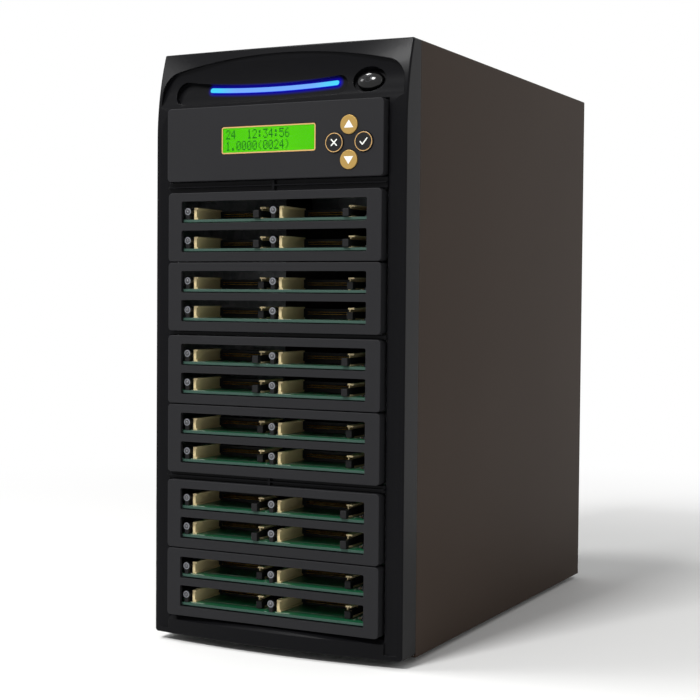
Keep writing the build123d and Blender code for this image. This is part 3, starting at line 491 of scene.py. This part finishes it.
def litCrystal(name, outer, inner):
    material, tree = newMaterial(name)
    where = addNode(tree, "SeparateXYZ", None, {"Vector": addNode(tree, "TexCoord").outputs["Object"]})
    across = addNode(tree, "MapRange", {"interpolation_type": "SMOOTHSTEP"}, {
        "Value": addNode(tree, "Math", {"operation": "ABSOLUTE"}, {0: where.outputs["X"]}).outputs[0],
        "From Min": 0.0,
        "From Max": 33 * mm,
        "To Min": 1.0,
        "To Max": 0.0,
    })
    tone = addNode(tree, "Mix", {"data_type": "RGBA"}, {
        0: across.outputs["Result"],
        6: colour(outer),
        7: colour(inner),
    })
    shader = addNode(tree, "BsdfPrincipled", None, {
        "Base Color": tone.outputs[2],
        "Roughness": 0.5,
        "Specular IOR Level": 0.05,
        "Emission Color": tone.outputs[2],
        "Emission Strength": 0.2,
    })
    closeMaterial(tree, shader.outputs["BSDF"])
    return material


litDisplay = litCrystal("BacklitLiquidCrystal", backlight["edge"], backlight["middle"])

# frosted light guide: pale blue along its face, cyan at the ends, deep blue where light leaks from its sides
guideGlow = {
    "face": "#6CA8FF",
    "ends": "#34D4F8",
    "sides": "#0A1EE6",
    "faceStrength": 1.0,
    "sideStrength": 0.8,
}


def litLightGuide():
    material, tree = newMaterial("FrostedLightGuide")
    where = addNode(tree, "SeparateXYZ", None, {"Vector": addNode(tree, "TexCoord").outputs["Object"]})
    facing = addNode(tree, "SeparateXYZ", None, {"Vector": addNode(tree, "NewGeometry").outputs["Normal"]})
    fromMiddle = addNode(tree, "Math", {"operation": "SUBTRACT"}, {
        0: where.outputs["X"],
        1: paintedSpill["middle"] * mm,
    })
    ends = addNode(tree, "MapRange", {"interpolation_type": "SMOOTHSTEP"}, {
        "Value": addNode(tree, "Math", {"operation": "ABSOLUTE"}, {0: fromMiddle.outputs[0]}).outputs[0],
        "From Min": 0.55 * paintedSpill["half"] * mm,
        "From Max": paintedSpill["half"] * mm,
    })
    face = addNode(tree, "Mix", {"data_type": "RGBA"}, {
        0: ends.outputs["Result"],
        6: colour(guideGlow["face"]),
        7: colour(guideGlow["ends"]),
    })
    front = addNode(tree, "MapRange", None, {
        "Value": facing.outputs["Y"],
        "From Min": -0.9,
        "From Max": -0.6,
        "To Min": 1.0,
        "To Max": 0.0,
    })
    tone = addNode(tree, "Mix", {"data_type": "RGBA"}, {
        0: front.outputs["Result"],
        6: colour(guideGlow["sides"]),
        7: face.outputs[2],
    })
    strength = addNode(tree, "MapRange", None, {
        "Value": front.outputs["Result"],
        "To Min": guideGlow["sideStrength"],
        "To Max": guideGlow["faceStrength"],
    })
    shader = addNode(tree, "BsdfPrincipled", None, {
        "Base Color": colour("#060C16"),
        "Roughness": 0.35,
        "IOR": 1.49,
        "Specular IOR Level": 0.15,
        "Emission Color": tone.outputs[2],
        "Emission Strength": strength.outputs["Result"],
    })
    closeMaterial(tree, shader.outputs["BSDF"])
    return material


lightGuide = litLightGuide()

# unlit indicator lamp: clear epoxy dome over a dark well
lampDome = plainSurface("CastClearEpoxy", "#5A5A5E", 0.12)
print("display and lamp materials made")


# Materials onto the solids

nodeMaterials = {
    "front_bezel": satinAbsAndPaintedGlow,
    "power_button": polishedAbs,
    "light_bar": lightGuide,
    "control_plate": erodedAbs,
    "lcd_window": displayCover,
    "control_board": greenBoard,
    "indicator_board": greenBoard,
    "reader_boards": greenBoard,
    "controller_board": greenBoard,
    "side_rails": zincSheet,
    "bay_cage": zincSheet,
    "base_plate": zincSheet,
    "rear_panel": zincSheet,
    "power_supply": zincSheet,
    "right_side_panel": caseCoat,
    "left_side_panel": caseCoat,
    "top_panel": caseCoat,
    "socket_headers": mouldedNylon,
    "card_guides": mouldedPbt,
    "status_lights": mouldedNylon,
    "rubber_feet": vulcanisedRubber,
    "mains_inlet": mouldedNylon,
    "mains_rocker": polishedAbs,
    "fan_frame": mouldedNylon,
    "fan_rotor": mouldedNylon,
    "case_screws": nickelPlate,
    "up_key": goldLacquer,
    "down_key": goldLacquer,
    "cross_key": polishedAbs,
    "tick_key": polishedAbs,
}
for name, node in nodes.items():
    if name.startswith("bay_panel"):
        material = erodedAbs
    elif name.startswith("ejector"):
        material = mouldedNylon
    else:
        material = nodeMaterials[name]
    if not node.material_slots:
        node.data.materials.append(material)
    for place in node.material_slots:
        place.material = material
print("solids painted")


# Tools for pieces. Points are in mm in the CAD's frame

def addBox(bm, low, high, index=0):
    corners = [
        bm.verts.new((x, y, z))
        for x in (low[0], high[0])
        for y in (low[1], high[1])
        for z in (low[2], high[2])
    ]
    for ring in ((0, 1, 3, 2), (4, 6, 7, 5), (0, 4, 5, 1), (2, 3, 7, 6), (0, 2, 6, 4), (1, 5, 7, 3)):
        face = bm.faces.new([corners[i] for i in ring])
        face.material_index = index


# Skins a row of equal loops, and caps its ends unless it is closed
def addLoops(bm, loops, index=0, closed=False):
    rows = [[bm.verts.new(point) for point in loop] for loop in loops]
    pairs = list(zip(rows, rows[1:]))
    if closed:
        pairs.append((rows[-1], rows[0]))
    for first, second in pairs:
        count = len(first)
        for i in range(count):
            ring = (first[i], first[(i + 1) % count], second[(i + 1) % count], second[i])
            bm.faces.new(ring).material_index = index
    if not closed:
        bm.faces.new(rows[0]).material_index = index
        bm.faces.new(list(reversed(rows[-1]))).material_index = index


# Gives an outline of (x, z) points thickness along Y
def addPlate(bm, outline, front, back, index=0):
    addLoops(bm, [[(x, front, z) for x, z in outline], [(x, back, z) for x, z in outline]], index)


def circlePoints(x, z, radius, steps=32):
    return [
        (x + radius * math.cos(2 * math.pi * i / steps), z + radius * math.sin(2 * math.pi * i / steps))
        for i in range(steps)
    ]


# A rounded rectangle of (x, z) points round a middle
def roundedOutline(x, z, halfWidth, halfHeight, corner, steps=6):
    outline = []
    for cx, cz, start in ((1, -1, -90), (1, 1, 0), (-1, 1, 90), (-1, -1, 180)):
        for step in range(steps + 1):
            angle = math.radians(start + step * 90 / steps)
            outline.append((
                x + cx * (halfWidth - corner) + corner * math.cos(angle),
                z + cz * (halfHeight - corner) + corner * math.sin(angle),
            ))
    return outline


# A flat ring with a slightly crowned face
def addRing(bm, x, z, inner, outer, front, back, steps=48):
    middle = (inner + outer) / 2
    crown = front - (outer - inner) * 0.12
    section = [(inner, back), (inner, front), (middle, crown), (outer, front), (outer, back)]
    loops = []
    for i in range(steps):
        angle = 2 * math.pi * i / steps
        loops.append([(x + r * math.cos(angle), y, z + r * math.sin(angle)) for r, y in section])
    addLoops(bm, loops, closed=True)


def finishPiece(name, bm, materials, body="case", bevel=0.0, replaced=None):
    bmesh.ops.recalc_face_normals(bm, faces=bm.faces)
    bmesh.ops.scale(bm, vec=(mm, mm, mm), verts=bm.verts)
    mesh = bpy.data.meshes.new(name)
    bm.to_mesh(mesh)
    bm.free()
    for material in materials:
        mesh.materials.append(material)
    mesh.shade_smooth()
    mesh.set_sharp_from_angle(angle=math.radians(32))
    piece = bpy.data.objects.new(name, mesh)
    bpy.context.scene.collection.objects.link(piece)
    if bevel:
        rounding = piece.modifiers.new("Rounding", "BEVEL")
        rounding.width = bevel * mm
        rounding.segments = 2
        rounding.limit_method = "ANGLE"
    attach(piece, body)
    if replaced:
        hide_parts(replaced)
    return piece


# Places shared with the solids

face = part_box("bay_panel_1")[0].y / mm
bays = range(1, 7)
rows = {"upper": 25.9, "lower": 8.0}    # top of each board above its bay's foot
sides = {"left": -61.0, "right": -0.4}  # middle of the status light
slots = [(bay, row, side) for bay in bays for row in rows for side in sides]


def boardTop(bay, row):
    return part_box("bay_panel_%d" % bay)[0].z / mm + rows[row]


# Contact pins, fifty in each socket
pinField = {
    "pitch": 1.27,
    "width": 0.46,
    "reach": 6.5,       # in front of the header
    "header": 34.0,     # header's face behind the bay faces
    "middle": 26.2,     # from the status light
    "height": 3.7,
    "perRow": 25,
    "sunk": 0.4,        # root inside the header
    "tip": (0.6, 0.35), # length of the taper, and what is left of the width
}


def makePins():
    bm = bmesh.new()
    half = pinField["width"] / 2
    middlePin = (pinField["perRow"] - 1) / 2
    taper, left = pinField["tip"]
    for bay, row, side in slots:
        base = boardTop(bay, row) + pinField["height"]
        for line in (-0.5, 0.5):
            z = base + line * pinField["pitch"]
            for i in range(pinField["perRow"]):
                x = sides[side] + pinField["middle"] + (i - middlePin) * pinField["pitch"]
                root = face + pinField["header"]
                tip = root - pinField["reach"]
                square = [(-half, -half), (half, -half), (half, half), (-half, half)]
                loops = []
                for y, grow in ((root + pinField["sunk"], 1.0), (tip + taper, 1.0), (tip, left)):
                    loops.append([(x + dx * grow, y, z + dz * grow) for dx, dz in square])
                addLoops(bm, loops)
    finishPiece("contactPins", bm, [goldPins])


makePins()

# Domes of the status lights
lampLens = {"radius": 1.4, "front": 3.6, "height": 5.0, "skin": 0.03}


def makeLampDomes():
    bm = bmesh.new()
    outer = lampLens["radius"] + lampLens["skin"]
    for bay, row, side in slots:
        x = sides[side]
        z = boardTop(bay, row) + lampLens["height"]
        loops = []
        for step in range(7):
            angle = math.radians(4 + step * 14.3)
            radius = outer * math.sin(angle)
            y = face + lampLens["front"] - outer * math.cos(angle)
            loops.append([(px, y, pz) for px, pz in circlePoints(x, z, radius, 20)])
        addLoops(bm, loops)
    finishPiece("lampDomes", bm, [lampDome])


# Rims round the lamps
lampRim = {"inner": 1.42, "outer": 2.2, "front": 3.0}


def makeLampRims():
    bm = bmesh.new()
    for bay, row, side in slots:
        z = boardTop(bay, row) + lampLens["height"]
        front = face + lampRim["front"]
        addRing(bm, sides[side], z, lampRim["inner"], lampRim["outer"], front - 0.06, front + 0.02, steps=28)
    finishPiece("lampRims", bm, [mouldedPolypropylene])


makeLampDomes()
makeLampRims()
print("pins and lamps made")

# What is soldered and printed on the front of each reader board
boardParts = {
    "inkThickness": 0.04,
    "screwX": 60.4,
    "screwY": 9.5,
    "screwRadius": 2.4,
    "screwHeight": 1.7,
    # printed lines, x and y of two corners, from the lamp and from the bay's face
    "legend": (
        (2.2, 4.2, 12.4, 4.6),
        (2.2, 4.2, 2.5, 5.8),
        (-4.6, 3.4, -3.2, 3.8),
        (7.0, 12.0, 45.0, 12.4),
        (53.6, 8.0, 53.9, 30.0),
    ),
    "chipSize": 14,
    "leadPitch": 0.8,
    "leadWidth": 0.35,
}


def makeBoardParts():
    ink = bmesh.new()
    parts = bmesh.new()
    up = boardParts["inkThickness"]
    for bay in bays:
        for row in rows:
            top = boardTop(bay, row)
            for x0 in sides.values():
                # outline of the socket and a tick beside the lamp
                for x1, y1, x2, y2 in boardParts["legend"]:
                    addBox(ink, (x0 + x1, face + y1, top), (x0 + x2, face + y2, top + up))
                # chip resistors and capacitors by the right guide
                for i in range(4):
                    y = face + 13.5 + i * 4.2
                    x = x0 + 54.6
                    addBox(parts, (x, y, top), (x + 2.0, y + 1.2, top + 0.6), 0 if i % 2 else 2)
                    addBox(parts, (x - 0.35, y - 0.02, top), (x + 0.3, y + 1.22, top + 0.64), 1)
                    addBox(parts, (x + 1.7, y - 0.02, top), (x + 2.35, y + 1.22, top + 0.64), 1)
            # controller chip with its leads, behind the middle of the board
            chip = (-9.0, face + 52.0)
            size = boardParts["chipSize"]
            addBox(parts, (chip[0], chip[1], top + 0.25), (chip[0] + size, chip[1] + size, top + 1.6), 0)
            for i in range(16):
                start = 1.0 + i * boardParts["leadPitch"]
                end = start + boardParts["leadWidth"]
                for x in ((-1.1, 0), (size, 15.1)):
                    low = (chip[0] + x[0], chip[1] + start, top)
                    high = (chip[0] + x[1], chip[1] + end, top + 0.7)
                    addBox(parts, low, high, 1)
                low = (chip[0] + start, chip[1] - 1.1, top)
                high = (chip[0] + end, chip[1], top + 0.7)
                addBox(parts, low, high, 1)
    finishPiece("boardLegend", ink, [printedInk])
    finishPiece("boardParts", parts, [chipEpoxy, tinnedLeads, firedCeramic], bevel=0.06)


makeBoardParts()


# Screws, each a domed head with a cross recess
screwLook = {"slot": 0.85, "depth": 1.1, "reach": 0.62}


# A domed head with a cross recess in its crown
def addScrewHead(bm, place, radius, height, turn, up=False):
    steps = 48
    half = screwLook["slot"] / 2
    reach = radius * screwLook["reach"]
    rings = []
    profile = [(1.0, 0.0), (1.0, 0.45), (0.93, 0.72), (0.8, 0.88), (0.62, 0.97)]
    for share, lift in profile:
        rings.append([(radius * share, 2 * math.pi * i / steps, lift * height) for i in range(steps)])
    loops = []
    for ring in rings:
        loop = []
        for r, angle, lift in ring:
            loop.append((r * math.cos(angle + turn), r * math.sin(angle + turn), lift))
        loops.append(loop)
    # the recess: a cross-shaped ring that drops towards the middle
    cross = []
    floor = []
    for i in range(steps):
        angle = 2 * math.pi * i / steps
        c, s = abs(math.cos(angle)), abs(math.sin(angle))
        limit = min(reach, half / max(min(c, s), 1e-6))
        a = limit * math.cos(angle + turn)
        b = limit * math.sin(angle + turn)
        cross.append((a, b, height))
        floor.append((a * 0.55, b * 0.55, height - screwLook["depth"]))
    loops += [cross, floor]
    placed = []
    for loop in loops:
        if up:
            placed.append([(place[0] + a, place[1] + b, place[2] + lift) for a, b, lift in loop])
        else:
            placed.append([(place[0] + a, place[1] + lift, place[2] + b) for a, b, lift in loop])
    addLoops(bm, placed)


caseScrews = {
    "sideX": 80.1,
    "sideHeights": (40.0, 186.0, 332.0),
    "fanHole": 35.75,       # from the fan's middle, both ways
    "supplyInset": 8,
    "radius": 3.2,
    "height": 2.0,
}


def makeCaseScrews():
    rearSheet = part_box("right_side_panel")[1].y / mm
    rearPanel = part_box("rear_panel")[1].y / mm
    fanLow, fanHigh = (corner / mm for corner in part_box("fan_frame"))
    supplyLow, supplyHigh = (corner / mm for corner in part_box("power_supply"))
    fanZ = (fanLow.z + fanHigh.z) / 2
    fanHole, inset = caseScrews["fanHole"], caseScrews["supplyInset"]
    places = [
        (side * caseScrews["sideX"], rearSheet, z)
        for side in (-1, 1)
        for z in caseScrews["sideHeights"]
    ]
    supplyMiddle = (supplyLow.z + supplyHigh.z) / 2
    supplyHalf = (supplyHigh.z - supplyLow.z) / 2 - inset
    for x in (-1, 1):
        for z in (-1, 1):
            places.append((x * fanHole, rearPanel, fanZ + z * fanHole))
            places.append((x * (supplyHigh.x - inset), rearPanel, supplyMiddle + z * supplyHalf))
    bm = bmesh.new()
    for i, place in enumerate(places):
        addScrewHead(bm, place, caseScrews["radius"], caseScrews["height"], 0.4 + i * 1.3)
    finishPiece("caseScrewHeads", bm, [nickelPlate], replaced="case_screws")


makeCaseScrews()


def makeBoardScrews():
    bm = bmesh.new()
    for bay in bays:
        for row in rows:
            place = (boardParts["screwX"], face + boardParts["screwY"], boardTop(bay, row))
            radius, height = boardParts["screwRadius"], boardParts["screwHeight"]
            addScrewHead(bm, place, radius, height, 0.3 * bay, up=True)
    finishPiece("boardScrews", bm, [blackenedSteel])


makeBoardScrews()
print("board parts and screws made")

# The display: a lit sheet close behind its cover, and the dots that are on
display = {
    "x": -2.5,
    "width": 63.2,
    "height": 14.9,
    "depth": 0.2,       # below the cover's face, which it is bonded to
    "border": 0.75,
    "lines": ("24  12:34:56    ", "1.0000(0024)    "),
    "cellPitch": 3.72,
    "linePitch": 6.8,
    "dot": (0.58, 0.74),
    "dotPitch": (0.62, 0.8),
}
digitDots = {
    "0": ("01110", "10001", "10011", "10101", "11001", "10001", "01110"),
    "1": ("00100", "01100", "00100", "00100", "00100", "00100", "01110"),
    "2": ("01110", "10001", "00001", "00010", "00100", "01000", "11111"),
    "3": ("11111", "00010", "00100", "00010", "00001", "10001", "01110"),
    "4": ("00010", "00110", "01010", "10010", "11111", "00010", "00010"),
    "5": ("11111", "10000", "11110", "00001", "00001", "10001", "01110"),
    "6": ("00110", "01000", "10000", "11110", "10001", "10001", "01110"),
    ":": ("00000", "01100", "01100", "00000", "01100", "01100", "00000"),
    ".": ("00000", "00000", "00000", "00000", "00000", "01100", "01100"),
    "(": ("00010", "00100", "01000", "01000", "01000", "00100", "00010"),
    ")": ("01000", "00100", "00010", "00010", "00010", "00100", "01000"),
}


def makeDisplay():
    coverLow, coverHigh = (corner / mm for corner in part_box("lcd_window"))
    middleZ = (coverLow.z + coverHigh.z) / 2
    front = coverLow.y + display["depth"]
    sheet = bmesh.new()
    outline = roundedOutline(display["x"], middleZ, display["width"] / 2, display["height"] / 2, 0.8)
    addPlate(sheet, outline, front, front + 0.1)
    finishPiece("displaySheet", sheet, [litDisplay])
    dots = bmesh.new()
    stepX, stepZ = display["dotPitch"]
    halfDotX, halfDotZ = (size / 2 for size in display["dot"])
    for line, text in enumerate(display["lines"]):
        z0 = middleZ + (0.5 - line) * display["linePitch"]
        for i, letter in enumerate(text):
            if letter == " ":
                continue
            x0 = display["x"] + (i - 7.5) * display["cellPitch"]
            for r, pattern in enumerate(digitDots[letter]):
                for c, on in enumerate(pattern):
                    if on == "1":
                        x = x0 + (c - 2) * stepX
                        z = z0 + (3 - r) * stepZ
                        low = (x - halfDotX, front - 0.05, z - halfDotZ)
                        high = (x + halfDotX, front + 0.01, z + halfDotZ)
                        addBox(dots, low, high)
    finishPiece("displayDots", dots, [displayInk])
    # border printed on the cover, just inside its edge
    border = bmesh.new()
    halfX = (coverHigh.x - coverLow.x) / 2 - 0.15
    halfZ = (coverHigh.z - coverLow.z) / 2 - 0.15
    width = display["border"]
    outer = roundedOutline(display["x"], middleZ, halfX, halfZ, 1.4)
    inner = roundedOutline(display["x"], middleZ, halfX - width, halfZ - width, 0.6)
    loops = []
    for (x0, z0), (x1, z1) in zip(outer, inner):
        loops.append([(x, coverLow.y + y, z) for x, y, z in (
            (x0, 0.02, z0),
            (x0, -0.04, z0),
            (x1, -0.04, z1),
            (x1, 0.02, z1),
        )])
    addLoops(border, loops, closed=True)
    finishPiece("displayBorder", border, [printedGold])


makeDisplay()
print("display made")

# Key faces
keyFaces = {"radius": 6.0, "inset": 0.35, "ringWidth": 0.42, "ink": 0.05, "triangle": 3.4, "stroke": 0.75}


def keyMiddle(name):
    low, high = (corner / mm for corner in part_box(name))
    return (low.x + high.x) / 2, low.y, (low.z + high.z) / 2


# A flat stroke with round ends
def addStroke(bm, start, end, width, front, back, index=0):
    along = math.atan2(end[1] - start[1], end[0] - start[0])
    outline = []
    for centre, base in ((end, -90), (start, 90)):
        for step in range(7):
            angle = along + math.radians(base + step * 30)
            outline.append((centre[0] + width / 2 * math.cos(angle), centre[1] + width / 2 * math.sin(angle)))
    addPlate(bm, outline, front, back, index)


def makeKeyFaces():
    ink = keyFaces["ink"]
    for name, sign in (("up_key", 1), ("down_key", -1)):
        x, y, z = keyMiddle(name)
        bm = bmesh.new()
        size = keyFaces["triangle"]
        foot = z - sign * size * 0.55
        outline = [(x - size * 0.9, foot), (x + size * 0.9, foot), (x, z + sign * size * 0.8)]
        addPlate(bm, outline, y - ink, y + ink)
        finishPiece(
            name + "Arrow", bm, [printedInk], body=name + "_body", bevel=0.03
        )
    for name in ("cross_key", "tick_key"):
        x, y, z = keyMiddle(name)
        bm = bmesh.new()
        outer = keyFaces["radius"] - keyFaces["inset"]
        addRing(bm, x, z, outer - keyFaces["ringWidth"], outer, y - ink, y + ink)
        if name == "cross_key":
            strokes = [((-1.7, -1.7), (1.7, 1.7)), ((-1.7, 1.7), (1.7, -1.7))]
        else:
            strokes = [((-2.1, -0.1), (-0.6, -1.7)), ((-0.6, -1.7), (2.3, 1.8))]
        for lift, (start, end) in zip((0.0, 0.01), strokes):
            points = [(x + a, z + b) for a, b in (start, end)]
            addStroke(bm, *points, keyFaces["stroke"], y - ink - lift, y + ink, 1)
        finishPiece(
            name + "Print", bm, [printedGold, printedInk], body=name + "_body"
        )


makeKeyFaces()

# Standby mark on the power button, pressed into the dome
standby = {"radius": 2.2, "stroke": 0.4, "gap": 34, "dome": (8.5, 6.0, 3.2), "tilt": 20}


def makeStandbyMark():
    low, high = (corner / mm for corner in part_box("power_button"))
    tilt = math.radians(standby["tilt"])
    outward = Vector((0, -math.cos(tilt), math.sin(tilt)))
    upward = Vector((0, math.sin(tilt), math.cos(tilt)))
    middleX = (low.x + high.x) / 2
    # crown of the dome: the furthest point of the solid along the button's axis
    crown = max((Vector(v.co) / mm).dot(outward) for v in nodes["power_button"].data.vertices)
    axis = Vector((middleX, 0, 0))
    vertices = [Vector(v.co) / mm for v in nodes["power_button"].data.vertices]
    heights = [v.dot(upward) for v in vertices]
    middleUp = (min(heights) + max(heights)) / 2

    def onDome(a, b, lift):
        wide, tall, rise = standby["dome"]
        drop = rise * (1 - math.sqrt(max(0.0, 1 - (a / wide) ** 2 - (b / tall) ** 2)))
        return axis + Vector((a, 0, 0)) + upward * (middleUp + b) + outward * (crown - drop + lift)

    bm = bmesh.new()

    def band(points, width):
        loops = []
        for i, (a, b) in enumerate(points):
            ahead = points[min(i + 1, len(points) - 1)]
            behind = points[max(i - 1, 0)]
            direction = Vector((ahead[0] - behind[0], ahead[1] - behind[1])).normalized()
            normal = Vector((-direction.y, direction.x)) * width / 2
            loops.append([
                onDome(a + normal.x, b + normal.y, 0.05),
                onDome(a - normal.x, b - normal.y, 0.05),
                onDome(a - normal.x, b - normal.y, -0.1),
                onDome(a + normal.x, b + normal.y, -0.1),
            ])
        addLoops(bm, loops)

    arc = []
    for step in range(31):
        angle = math.radians(90 + standby["gap"] + step * (360 - 2 * standby["gap"]) / 30)
        arc.append((standby["radius"] * math.cos(angle), standby["radius"] * math.sin(angle)))
    band(arc, standby["stroke"])
    band([(0, 0.6 + i * 0.45) for i in range(6)], standby["stroke"])
    finishPiece("standbyMark", bm, [symbolInk], body="power_button_body")


makeStandbyMark()
print("keys and power button marked")

# Rear: sleeves of the inlet's pins and the marks on its rocker
inletLook = {
    "height": 47.0,
    "depth": 16.0,
    "pinWidth": 2.0,
    "pinHeight": 4.0,
    "pinLength": 13.0,
    "pitch": 14.0,
    "raise": 4.0,       # of the middle pin
    "skin": 0.03,
}


def makeInletPins():
    low, high = (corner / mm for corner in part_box("mains_inlet"))
    x0 = (low.x + high.x) / 2
    z0 = (low.z + high.z) / 2 - inletLook["height"] / 4
    floor = high.y - inletLook["depth"]
    bm = bmesh.new()
    skin = inletLook["skin"]
    halfX = inletLook["pinWidth"] / 2 + skin
    halfZ = inletLook["pinHeight"] / 2 + skin
    side = inletLook["pitch"] / 2
    for dx, dz in ((-side, 0.0), (0.0, inletLook["raise"]), (side, 0.0)):
        loops = []
        tip = floor + inletLook["pinLength"] + skin
        for y, grow in ((floor - 0.2, 1.0), (tip - 0.01, 1.0), (tip, 0.92)):
            loops.append([
                (x0 + dx + sx * halfX * grow, y, z0 + dz + sz * halfZ * grow)
                for sx, sz in ((-1, -1), (1, -1), (1, 1), (-1, 1))
            ])
        addLoops(bm, loops)
    finishPiece("inletPins", bm, [nickelPlate])


makeInletPins()


rockerLook = {"tilt": 7, "middle": 1.8, "end": 3.0, "half": 9.0, "bar": (0.35, 3.2, 6.4), "ring": (1.3, 1.85)}


def makeRockerMarks():
    joint = next(j for j in frame["joints"] if j["name"] == "mains_rocker_tilt")
    pivot = Vector(joint["pos_m"]) / mm
    tilt = math.radians(rockerLook["tilt"])
    along = Vector((0, -math.sin(tilt), math.cos(tilt)))
    out = Vector((0, math.cos(tilt), math.sin(tilt)))
    bm = bmesh.new()

    def onFace(a, b, lift):
        middle, end = rockerLook["middle"], rockerLook["end"]
        level = middle + (end - middle) * abs(b) / rockerLook["half"]
        return pivot + Vector((a, 0, 0)) + along * b + out * (level + lift)

    half, foot, top = rockerLook["bar"]
    bar = [(-half, foot), (half, foot), (half, top), (-half, top)]
    addLoops(bm, [[onFace(a, b, -0.05) for a, b in bar], [onFace(a, b, 0.05) for a, b in bar]])
    inner, outer = rockerLook["ring"]
    loops = []
    for step in range(28):
        angle = 2 * math.pi * step / 28
        loop = []
        for r, lift in ((inner, -0.05), (inner, 0.05), (outer, 0.05), (outer, -0.05)):
            loop.append(onFace(r * math.cos(angle), -4.8 + r * math.sin(angle), lift))
        loops.append(loop)
    addLoops(bm, loops, closed=True)
    finishPiece("rockerMarks", bm, [printedInk], body="mains_rocker_body")


makeRockerMarks()
print("rear fittings made")


# Floor, lights and world

studio = {
    "floor": "#F4F4F3",
    "fadeFrom": 0.3,        # metres from the middle, where the floor starts to melt into white
    "fadeTo": 0.95,
    "skyLight": 0.42,
    "key": {"place": (-0.35, -1.8, 1.95), "size": 0.5, "energy": 46},
    "left": {"place": (-1.76, -1.26, 1.54), "size": 0.5, "energy": 8},
    "top": {"place": (-0.95, -0.45, 2.3), "size": 0.4, "energy": 16},
    "fill": {"place": (2.3, -1.2, 1.2), "size": 0.9, "energy": 3},
}


# 1 for rays that look at a thing: from the camera, a reflection or through glass
def viewRay(tree):
    rays = addNode(tree, "LightPath")
    seen = addNode(tree, "Math", {"operation": "MAXIMUM"}, {
        0: rays.outputs["Is Camera Ray"],
        1: rays.outputs["Is Glossy Ray"],
    })
    return addNode(tree, "Math", {"operation": "MAXIMUM"}, {
        0: seen.outputs[0],
        1: rays.outputs["Is Transmission Ray"],
    }).outputs[0]


def makeFloor():
    material, tree = newMaterial("PaintedStudioFloor")
    where = addNode(tree, "TexCoord").outputs["Object"]
    distance = addNode(tree, "VectorMath", {"operation": "LENGTH"}, {0: where})
    far = addNode(tree, "MapRange", {"interpolation_type": "SMOOTHSTEP"}, {
        "Value": distance.outputs["Value"],
        "From Min": studio["fadeFrom"],
        "From Max": studio["fadeTo"],
    })
    grain = addNode(tree, "TexNoise", None, {"Vector": where, "Scale": perMetre(4), "Detail": 2.0})
    bump = addNode(tree, "Bump", None, {
        "Height": grain.outputs["Fac"],
        "Distance": 0.05 * mm,
        "Strength": 0.3,
    })
    paint = addNode(tree, "BsdfPrincipled", None, {
        "Base Color": colour(studio["floor"]),
        "Roughness": 0.7,
        "Specular IOR Level": 0.2,
        "Normal": bump.outputs["Normal"],
    })
    white = addNode(tree, "Emission", None, {"Color": (1, 1, 1, 1), "Strength": 1.0})
    share = addNode(tree, "Math", {"operation": "MULTIPLY"}, {0: far.outputs["Result"], 1: viewRay(tree)})
    blend = addNode(tree, "MixShader", None, {
        0: share.outputs[0],
        1: paint.outputs["BSDF"],
        2: white.outputs[0],
    })
    closeMaterial(tree, blend.outputs[0])
    bm = bmesh.new()
    bmesh.ops.create_circle(bm, cap_ends=True, segments=96, radius=9)
    mesh = bpy.data.meshes.new("studioFloor")
    bm.to_mesh(mesh)
    bm.free()
    mesh.materials.append(material)
    floor = bpy.data.objects.new("studioFloor", mesh)
    bpy.context.scene.collection.objects.link(floor)


def makeLights():
    for name in ("key", "left", "top", "fill"):
        look = studio[name]
        lamp = bpy.data.lights.new(name + "Light", "AREA")
        lamp.size = look["size"]
        lamp.energy = look["energy"]
        holder = bpy.data.objects.new(name + "Light", lamp)
        place = Vector(look["place"])
        holder.location = place
        aim = Vector((0, 0, 0.18)) - place
        holder.rotation_euler = aim.to_track_quat("-Z", "Y").to_euler()
        bpy.context.scene.collection.objects.link(holder)


def makeWorld():
    world = bpy.data.worlds.new("Studio")
    bpy.context.scene.world = world
    world.use_nodes = True
    tree = world.node_tree
    tree.nodes.clear()
    strength = addNode(tree, "MapRange", None, {
        "Value": viewRay(tree),
        "To Min": studio["skyLight"],
        "To Max": 1.0,
    })
    sky = addNode(tree, "Background", None, {"Color": (1, 1, 1, 1), "Strength": strength.outputs["Result"]})
    addNode(tree, "OutputWorld", None, {"Surface": sky.outputs[0]})


makeFloor()
makeLights()
makeWorld()
bpy.context.scene.view_settings.view_transform = "Standard"
print("studio made")
